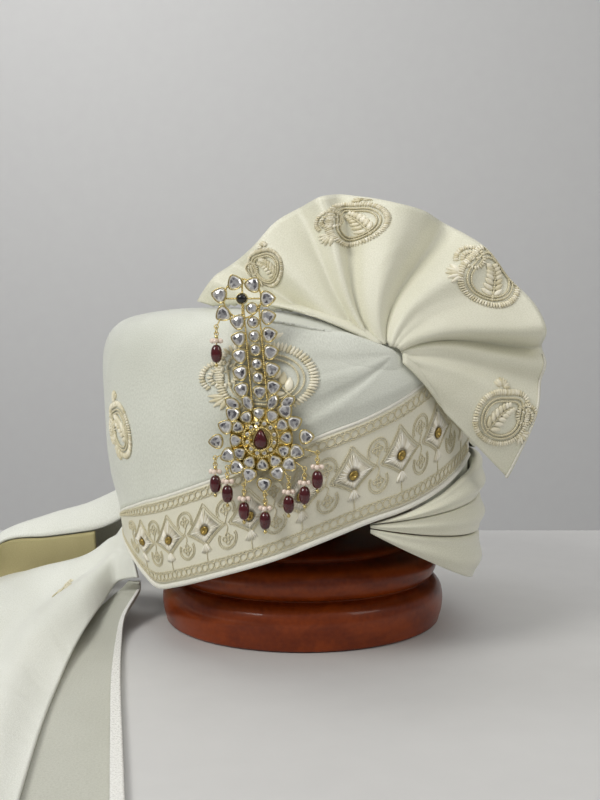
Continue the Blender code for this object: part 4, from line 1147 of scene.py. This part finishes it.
PAISLEYS = (
    (on_drape(radians(-77), 0.1190), (0.0150, 0.0195), 0.5, 1),
    (on_drape(radians(-26), 0.1500), (0.0290, 0.0190), 0.1, 1),
    (on_fan(-0.017, 0.070), (0.0190, 0.0135), 0.1, 1),
    (on_fan(0.053, 0.041), (0.0190, 0.0190), -0.6, 1),
    (on_fan(0.062, -0.032), (0.0180, 0.0170), -0.2, -1),
    (on_fan(-0.064, 0.047), (0.0100, 0.0120), 0.4, 1),
)
FLOWERS = (
    (on_tail(0.34, 0.42), (0.0105, 0.0120), 0.2, 1),
    (on_tail(0.93, 0.40), (0.0120, 0.0140), -0.3, 1),
)
motif_lines, motif_heap = [], Heap()
for rule in PAISLEYS:
    paisley_motif(scatter_rule(*rule), motif_heap, motif_lines)
for rule in FLOWERS:
    flower_motif(scatter_rule(*rule), motif_heap, motif_lines)
strung("motif_threads", motif_lines, 0.0013, (0.0020, 0.0012, 0.0012), zari, 6, 4)
heap_piece("motif_stitches", motif_heap, floss)

# %% [markdown]
# The stand is turned on a lathe from a red-brown hardwood, stained and varnished. Turning leaves the
# profile perfectly round, so the profile is spun in many steps. The varnish is a clear coat over the
# grain, and the grain is drawn with rings about 8 mm wide, stretched along the wood.

# %% Turned stand
def varnished_wood():
    """Stained hardwood under varnish: deep red-brown with darker growth rings and a wet gloss."""
    material, tree, shader = new_material("varnished_rosewood_stain")
    place = add_node(tree, "ShaderNodeTexCoord").outputs["Object"]
    log = {"Vector": place, "Location": (0.12, 0.05, 0.0), "Scale": (1.0, 0.22, 1.0)}
    along = add_node(tree, "ShaderNodeMapping", log).outputs["Vector"]
    growth = {"Vector": along, "Scale": 38.0, "Distortion": 5.0, "Detail": 3.0, "Detail Scale": 1.4}
    rings = add_node(tree, "ShaderNodeTexWave", growth, wave_type="RINGS").outputs["Fac"]
    vessels = {"Vector": along, "Scale": 420.0, "Detail": 4.0}
    pores = add_node(tree, "ShaderNodeTexNoise", vessels).outputs["Fac"]
    figure = add_node(tree, "ShaderNodeMix", {0: 0.6, 2: rings, 3: pores})
    colours = {0: figure.outputs[0], 6: linear("5C1C02"), 7: linear("98400A")}
    tone = add_node(tree, "ShaderNodeMix", colours, data_type="RGBA")
    grain = add_node(tree, "ShaderNodeBump", {"Strength": 0.08, "Distance": 0.0004, "Height": pores})
    tree.links.new(tone.outputs[2], shader.inputs["Base Color"])
    tree.links.new(grain.outputs["Normal"], shader.inputs["Normal"])
    shader.inputs["Roughness"].default_value = 0.38
    shader.inputs["Specular IOR Level"].default_value = 0.2
    shader.inputs["Coat Weight"].default_value = 0.30
    shader.inputs["Coat Roughness"].default_value = 0.08
    return material


wood = varnished_wood()
BASE_RADIUS, BASE_HEIGHT = 0.0845, 0.049
STAND_PROFILE = (
    (0.0, 1.0), (0.25, 1.0), (0.45, 1.0), (0.58, 1.0), (0.660, 1.000), (0.745, 0.985), (0.775, 0.950),
    (0.775, 0.915), (0.845, 0.900), (0.920, 0.855), (0.953, 0.760), (0.953, 0.660), (0.925, 0.560),
    (0.895, 0.525), (0.945, 0.490), (0.985, 0.410), (1.000, 0.290), (0.995, 0.160), (0.980, 0.060),
    (0.965, 0.0), (0.90, 0.0), (0.75, 0.0), (0.5, 0.0), (0.25, 0.0), (0.0, 0.0),
)


def turned_base(u, v):
    """The lathe's profile, from the top's centre down the outside to the foot's centre."""
    rim = smooth_table(STAND_PROFILE, v, 0) * BASE_RADIUS
    height = limit(smooth_table(STAND_PROFILE, v, 1)) * BASE_HEIGHT
    return rim * cos(2 * pi * u), rim * sin(2 * pi * u), height


base = cloth("turned_base", 120, 95, turned_base, (0.5, 0.2), wood)
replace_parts(base, "stand_base")
for name in ("stand_post", "stand_rest"):
    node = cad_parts[name]
    node.data.materials.clear()
    node.data.materials.append(wood)
print("base faces", len(base.data.polygons))

# %% [markdown]
# The kalgi is kundan work: flat-backed clear stones in foil-lined gold cells, on a plate. Foil makes each
# stone look like grey-lilac glass with white edges, so the stone's table is darker than its sloping
# facets, and both are bright as mirrors. A stone is far too small for the render to trace light through
# it, so each facet gets a painted reflection: a tone from an attribute, bright on the outer facets, a
# broken dark ring inside them and a mid-grey table.

# %% Jewel finishes
def polished(name, light, deep, rough, metallic, scale, coat=0.0):
    """A polished surface with a faint unevenness, from its wear or its casting."""
    material, tree, shader = new_material(name)
    place = add_node(tree, "ShaderNodeTexCoord").outputs["Object"]
    cast = {"Vector": place, "Scale": scale, "Detail": 3.0}
    wear = add_node(tree, "ShaderNodeTexNoise", cast).outputs["Fac"]
    colours = {0: wear, 6: linear(deep), 7: linear(light)}
    tone = add_node(tree, "ShaderNodeMix", colours, data_type="RGBA")
    ripple = add_node(tree, "ShaderNodeBump", {"Strength": 0.12, "Distance": 0.0002, "Height": wear})
    tree.links.new(tone.outputs[2], shader.inputs["Base Color"])
    tree.links.new(ripple.outputs["Normal"], shader.inputs["Normal"])
    shader.inputs["Roughness"].default_value = rough
    shader.inputs["Metallic"].default_value = metallic
    shader.inputs["Coat Weight"].default_value = coat
    shader.inputs["Coat Roughness"].default_value = 0.05
    return material


def foiled_crystal():
    """Clear stones over foil, with painted reflections: each facet sends back one part of the room, so each
    gets its own painted tone.
    """
    material, tree, shader = new_material("foil_backed_crystal_painted_reflections")
    facet = add_node(tree, "ShaderNodeAttribute", attribute_name="tone", attribute_type="GEOMETRY")
    colours = {0: facet.outputs["Fac"], 6: linear("3B3740"), 7: linear("FBFAF8")}
    tone = add_node(tree, "ShaderNodeMix", colours, data_type="RGBA")
    tree.links.new(tone.outputs[2], shader.inputs["Base Color"])
    shader.inputs["Roughness"].default_value = 0.08
    shader.inputs["Metallic"].default_value = 0.45
    shader.inputs["Coat Weight"].default_value = 1.0
    shader.inputs["Coat Roughness"].default_value = 0.03
    return material


gilt = polished("antique_gilt_brass", "EADDA6", "BBA25C", 0.24, 1.0, 900.0)
antique = polished("antique_gold_sequin", "C9B06A", "7E6634", 0.34, 1.0, 1200.0)
crystal = foiled_crystal()
ruby = polished("dark_red_glass", "5C0610", "2C0207", 0.10, 0.0, 200.0, 0.5)
jet = polished("black_glass", "17171A", "050506", 0.10, 0.0, 200.0, 0.5)
pearl = polished("pink_white_pearl", "F6E6D8", "DDC4B2", 0.25, 0.0, 300.0, 0.5)
print("jewel finishes", [m.name for m in (gilt, antique, crystal, ruby, jet, pearl)])

# %% [markdown]
# The brooch is a flower of two rings of stones round a red one, with a stem above it and a crook of five
# stones round a black one. It is drawn flat, in shares of the flower's radius, and a rule turns that map
# into places on the flat plate that leans against the drape. Each stone sits in a gold cell of its own,
# and both are outlines carried through a few rings.

# %% The brooch's map and its stones
KALGI_TURN, KALGI_HEIGHT, KALGI_YAW, FLOWER_RADIUS = radians(-25.6), 0.120, radians(-9), 0.0225
DROP_FORWARD, LINE_FORWARD = 0.0026, 0.0014
CROOK = ((0.16, 3.05, 5), (-0.16, 3.36, 55), (-0.57, 3.41, 114), (-0.92, 3.13, 168), (-0.84, 2.71, 216))
CROOK_CENTRE = (-0.41, 3.05)
INNER_RING, OUTER_RING, SPIKE_RING, TINY_STONES = 0.56, 0.84, 1.01, 12
WINGS = ((-0.63, 0.77, 148), (-0.29, 0.79, 118), (0.26, 0.81, 62), (0.59, 0.82, 34))
DROPS = (
    (-1.01, -0.42), (-0.74, -0.63), (-0.37, -1.00), (0.10, -1.20),
    (0.62, -0.83), (0.97, -0.62), (1.25, -0.27), (-0.97, 2.44),
)
ACROSS = np.array((cos(KALGI_YAW), sin(KALGI_YAW), 0.0))
FORWARD = np.array((sin(KALGI_YAW), -cos(KALGI_YAW), 0.0))
UP = np.array((0.0, 0.0, 1.0))


def brooch_seat():
    """The brooch's origin: its back just clears the highest point of the drape behind it."""
    seat = on_crown(KALGI_TURN, KALGI_HEIGHT, 0.0)
    nearest = 0.0
    for i in range(21):
        for j in range(17):
            angle = KALGI_TURN + radians(3 * (i - 10))
            share = wall_share(angle, KALGI_HEIGHT + FLOWER_RADIUS * (0.22 * j - 1.0))
            out = drape_out(angle, crown_point(angle, share)[2]) + DRAPE_WALL / 2
            nearest = max(nearest, (crown_point(angle, share, out) - seat) @ FORWARD)
    return seat + FORWARD * (nearest + SEAT_GAP)


SEAT = brooch_seat()


def on_brooch(x, y, out):
    """The brooch's flat map: across and up in shares of the flower's radius, and out in metres."""
    return SEAT + (ACROSS * x + UP * y) * FLOWER_RADIUS + FORWARD * out


def at_turn(radius, turn):
    return radius * cos(radians(turn)), radius * sin(radians(turn))


def clear_stones():
    """Every clear stone: its place, kind, size in shares of the flower's radius, and heading."""
    stones = []
    for turn in range(94, 454, 30):
        stones.append((at_turn(INNER_RING, turn), "pear", (0.27, 0.26), turn + 180))
    for i in range(13):
        turn = 139 + 22.5 * i
        far = SPIKE_RING if i in (2, 6, 10) else OUTER_RING
        stones.append((at_turn(far, turn), "pear", (0.33, 0.31), turn))
    stones += [((x, y), "marquise", (0.38, 0.24), heading) for x, y, heading in WINGS]
    stones += [((-0.060 - 0.026 * i, 1.34 + 0.300 * i), "round", (0.26, 0.26), 0) for i in range(6)]
    stones.append(((-0.02, 1.02), "pear", (0.30, 0.30), -90))
    for i in range(5):
        stones.append(((0.290 - 0.029 * i, 1.14 + 0.380 * i), "pear", (0.33, 0.32), 14))
        stones.append(((-0.44 - 0.019 * i, 1.08 + 0.368 * i), "pear", (0.33, 0.32), 166))
    stones += [((x, y), "pear", (0.34, 0.33), heading) for x, y, heading in CROOK]
    return stones


def outline(kind, turn):
    """A stone's outline: round, drawn in at its tip like a pear, or pointed at both ends."""
    x, y = cos(turn), sin(turn)
    if kind == "pear":
        y *= 1 - 0.42 * x
    if kind == "marquise":
        y *= abs(y) ** 0.35
    return x, y


def add_cell(heap, stone, rings, sides=18, open_top=False, tones=None):
    """Adds a cell or a stone: its outline carried through rings of (share of its size, height)."""
    (x0, y0), kind, (length, width), heading = stone
    ahead, side = cos(radians(heading)), sin(radians(heading))

    def corner(ring, turn):
        x, y = outline(kind, turn)
        x, y = x * ring[0] * length / 2, y * ring[0] * width / 2
        flat = (x * FLOWER_RADIUS, y * FLOWER_RADIUS)
        return on_brooch(x0 + x * ahead - y * side, y0 + x * side + y * ahead, ring[1]), flat

    heap.add_form(rings, sides, corner, tones, open_top)


painted_reflection_source = np.random.default_rng(11)


def painted_reflection_tone(row, i):
    """Painted reflections: a bright outer ring of facets, a broken dark one inside it, and a mid-grey table.
    """
    low, high = ((0.60, 0.90), (0.70, 1.00), (0.00, 0.62), (0.28, 0.55))[min(row, 3)]
    return float(painted_reflection_source.uniform(low, high))


BEZEL = ((1.0, 0.0), (1.03, 0.0011), (1.02, 0.0020), (0.95, 0.0023), (0.88, 0.0019), (0.86, 0.0008))
TINY_BEZEL = ((1.0, 0.0006), (1.0, 0.0020), (0.8, 0.0021), (0.78, 0.0012))
CUT = ((0.88, 0.0010), (0.88, 0.0018), (0.64, 0.0026), (0.24, 0.0030))
TINY_CUT = ((0.8, 0.0010), (0.8, 0.0019), (0.4, 0.0024))
bezel_heap, crystal_heap, red_heap, black_heap = Heap(), Heap(), Heap(), Heap()
for stone in clear_stones():
    add_cell(bezel_heap, stone, BEZEL, 20, open_top=True)
    add_cell(crystal_heap, stone, CUT, 8, tones=painted_reflection_tone)
add_cell(bezel_heap, ((0, 0), "round", (1.40, 1.40), 0), ((1.0, 0.0), (1.0, 0.0007)), 48)
centre_stone = ((0, 0), "pear", (0.50, 0.32), 90)
black_stone = (CROOK_CENTRE, "round", (0.25, 0.25), 0)
add_cell(bezel_heap, centre_stone, BEZEL, 28, open_top=True)
add_cell(bezel_heap, black_stone, BEZEL, 20, open_top=True)
for i in range(TINY_STONES):
    turn = radians(30 * i + 15)
    tiny = ((0.305 * cos(turn), 0.02 + 0.335 * sin(turn)), "round", (0.115, 0.115), 0)
    add_cell(bezel_heap, tiny, TINY_BEZEL, 12, open_top=True)
    add_cell(crystal_heap, tiny, TINY_CUT, 8, tones=painted_reflection_tone)
add_cell(red_heap, centre_stone, ((0.84, 0.0010), (0.86, 0.0022), (0.62, 0.0036), (0.30, 0.0039)), 14)
add_cell(black_heap, black_stone, ((0.84, 0.0010), (0.86, 0.0022), (0.62, 0.0034), (0.30, 0.0037)), 14)
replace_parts(heap_piece("kundan_cells", bezel_heap, gilt), "kalgi_setting")
heap_piece("kundan_stones", crystal_heap, crystal, smooth=False)
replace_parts(heap_piece("centre_red_stone", red_heap, ruby), "kalgi_centre_stone")
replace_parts(heap_piece("crook_black_stone", black_heap, jet), "kalgi_black_stone")

# %% [markdown]
# Gold grains run along the stem in two ropes and round the red stone in two rings. A ring of wire with
# two bars across it carries the black stone in the crook. All are strung with the same tree as the
# stitches, from rounder pieces.

# %% Gold ropes and crook
ROPE_APART, ROPE_FOOT, ROPE_HEAD = 0.17, (-0.03, 0.86), (-0.21, 2.90)
CROOK_RING, BAR_OUT = 0.42, 0.0008


def brooch_line(start, end, out, count):
    """A straight line in front of the brooch's map, as points to be strung."""
    xs, ys = np.linspace(start[0], end[0], count), np.linspace(start[1], end[1], count)
    return [on_brooch(x, y, out) for x, y in zip(xs, ys)], False


def brooch_ring(centre, radius, out, count=60):
    """A ring in front of the brooch's map, as points to be strung."""
    return [on_brooch(x, y, out) for x, y in arc(centre, radius, 0, 360, count)[:-1]], True


ropes = [brooch_ring((0, 0), 0.40, 0.0016), brooch_ring((0, 0), 0.255, 0.0022)]
for side in (-ROPE_APART, ROPE_APART):
    foot, head = (ROPE_FOOT[0] + side, ROPE_FOOT[1]), (ROPE_HEAD[0] + side, ROPE_HEAD[1])
    ropes.append(brooch_line(foot, head, LINE_FORWARD, 60))
strung("gold_grain_ropes", ropes, 0.0010, (0.0011, 0.0011, 0.0011), gilt, 8, 6)
x, y = CROOK_CENTRE
wires = [brooch_ring(CROOK_CENTRE, CROOK_RING, 0.0006, 40)]
wires.append(brooch_line((x - CROOK_RING, y), (x + CROOK_RING, y), BAR_OUT, 12))
wires.append(brooch_line((x, y - CROOK_RING), (x, y + CROOK_RING), BAR_OUT, 12))
strung("crook_wires", wires, 0.0006, (0.0012, 0.0010, 0.0010), gilt, 8, 5)

# %% [markdown]
# Each drop hangs from an eyelet on a jump ring. A headpin carries a gold collar with four pearls round it
# and an oval bead of dark red glass, and ends in a small gold ball.

# %% Drops
EYE_RADIUS, LINK_RADIUS, PEARL_RING = 0.0010, 0.0017, 0.0021
COLLAR_HEIGHT, BEAD_LENGTH, BEAD_RADIUS, END_RADIUS = 0.0040, 0.0088, 0.0028, 0.0009


def ring_of(centre, first, second, radius, count=20):
    """Points of a ring that lies across two directions."""
    turns = np.linspace(0, 2 * pi, count + 1)[:-1]
    return [centre + first * radius * cos(t) + second * radius * sin(t) for t in turns]


link_paths, pin_paths, pearl_paths, ball_paths, bead_spots = [], [], [], [], []
for index, (x, y) in enumerate(DROPS):
    hook = on_brooch(x, y, DROP_FORWARD)
    link_paths.append((ring_of(hook, ACROSS, UP, EYE_RADIUS), True))
    link_paths.append((ring_of(hook - UP * LINK_RADIUS, FORWARD, UP, LINK_RADIUS), True))
    eye = hook - UP * 2 * LINK_RADIUS
    link_paths.append((ring_of(eye, ACROSS, UP, EYE_RADIUS), True))
    root = CROOK[-1][:2] if index == len(DROPS) - 1 else (0.80 * x, 0.80 * y)
    inner = on_brooch(*root, LINE_FORWARD)
    pin_paths.append(([inner, hook - (hook - inner) / np.linalg.norm(hook - inner) * EYE_RADIUS], False))
    top = eye - UP * EYE_RADIUS
    bead_top = top - UP * (COLLAR_HEIGHT + SEAT_GAP)
    end = bead_top - UP * (BEAD_LENGTH + SEAT_GAP)
    pin_paths.append(([top, end], False))
    ball_paths.append(([end - UP * END_RADIUS * s for s in (0.9, 1.1)], False))
    collar = top - UP * COLLAR_HEIGHT * 0.62
    pearl_paths.append((ring_of(collar, ACROSS, FORWARD, PEARL_RING, 4), True))
    ball_paths.append(([top - UP * 0.0006, top - UP * 0.0008], False))
    bead_spots.append(bead_top - UP * BEAD_LENGTH / 2)
links = strung("drop_rings", link_paths, 0.0004, (0.00075, 0.0006, 0.0006), gilt, 6, 4)
pins = strung("drop_wires", pin_paths, 0.0006, (0.0012, 0.0008, 0.0008), gilt, 8, 4)
strung("drop_end_balls", ball_paths, 0.0020, (0.0018, 0.0018, 0.0018), gilt, 12, 8)
strung("drop_pearls", pearl_paths, 0.00297, (0.0026, 0.0026, 0.0026), pearl, 14, 10)
BEAD_RINGS = [pi * j / 16 for j in range(17)]
bead_heap = Heap()


def bead_rule(spot):
    """A bead's form about its middle: a long oval with blunt ends."""
    def corner(down, turn):
        reach = max(BEAD_RADIUS * sin(down) ** 0.72, 0.0004)
        around = (ACROSS * cos(turn) + FORWARD * sin(turn)) * reach
        return spot + around + UP * BEAD_LENGTH / 2 * cos(down), (turn, down)

    return corner


for spot in bead_spots:
    bead_heap.add_form(BEAD_RINGS, 28, bead_rule(spot))
beads = heap_piece("drop_red_beads", bead_heap, ruby)
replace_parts(links, *[f"drop_{i}_link" for i in range(1, 9)])
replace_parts(pins, *[f"drop_{i}_pin" for i in range(1, 9)])
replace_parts(beads, *[f"drop_{i}_bead" for i in range(1, 9)])

# %% [markdown]
# The sequins on the border were kept until the gilt was made. Each is a small cupped disc of gold.

# %% Sequins
heap_piece("band_sequins", sequin_heap, antique)
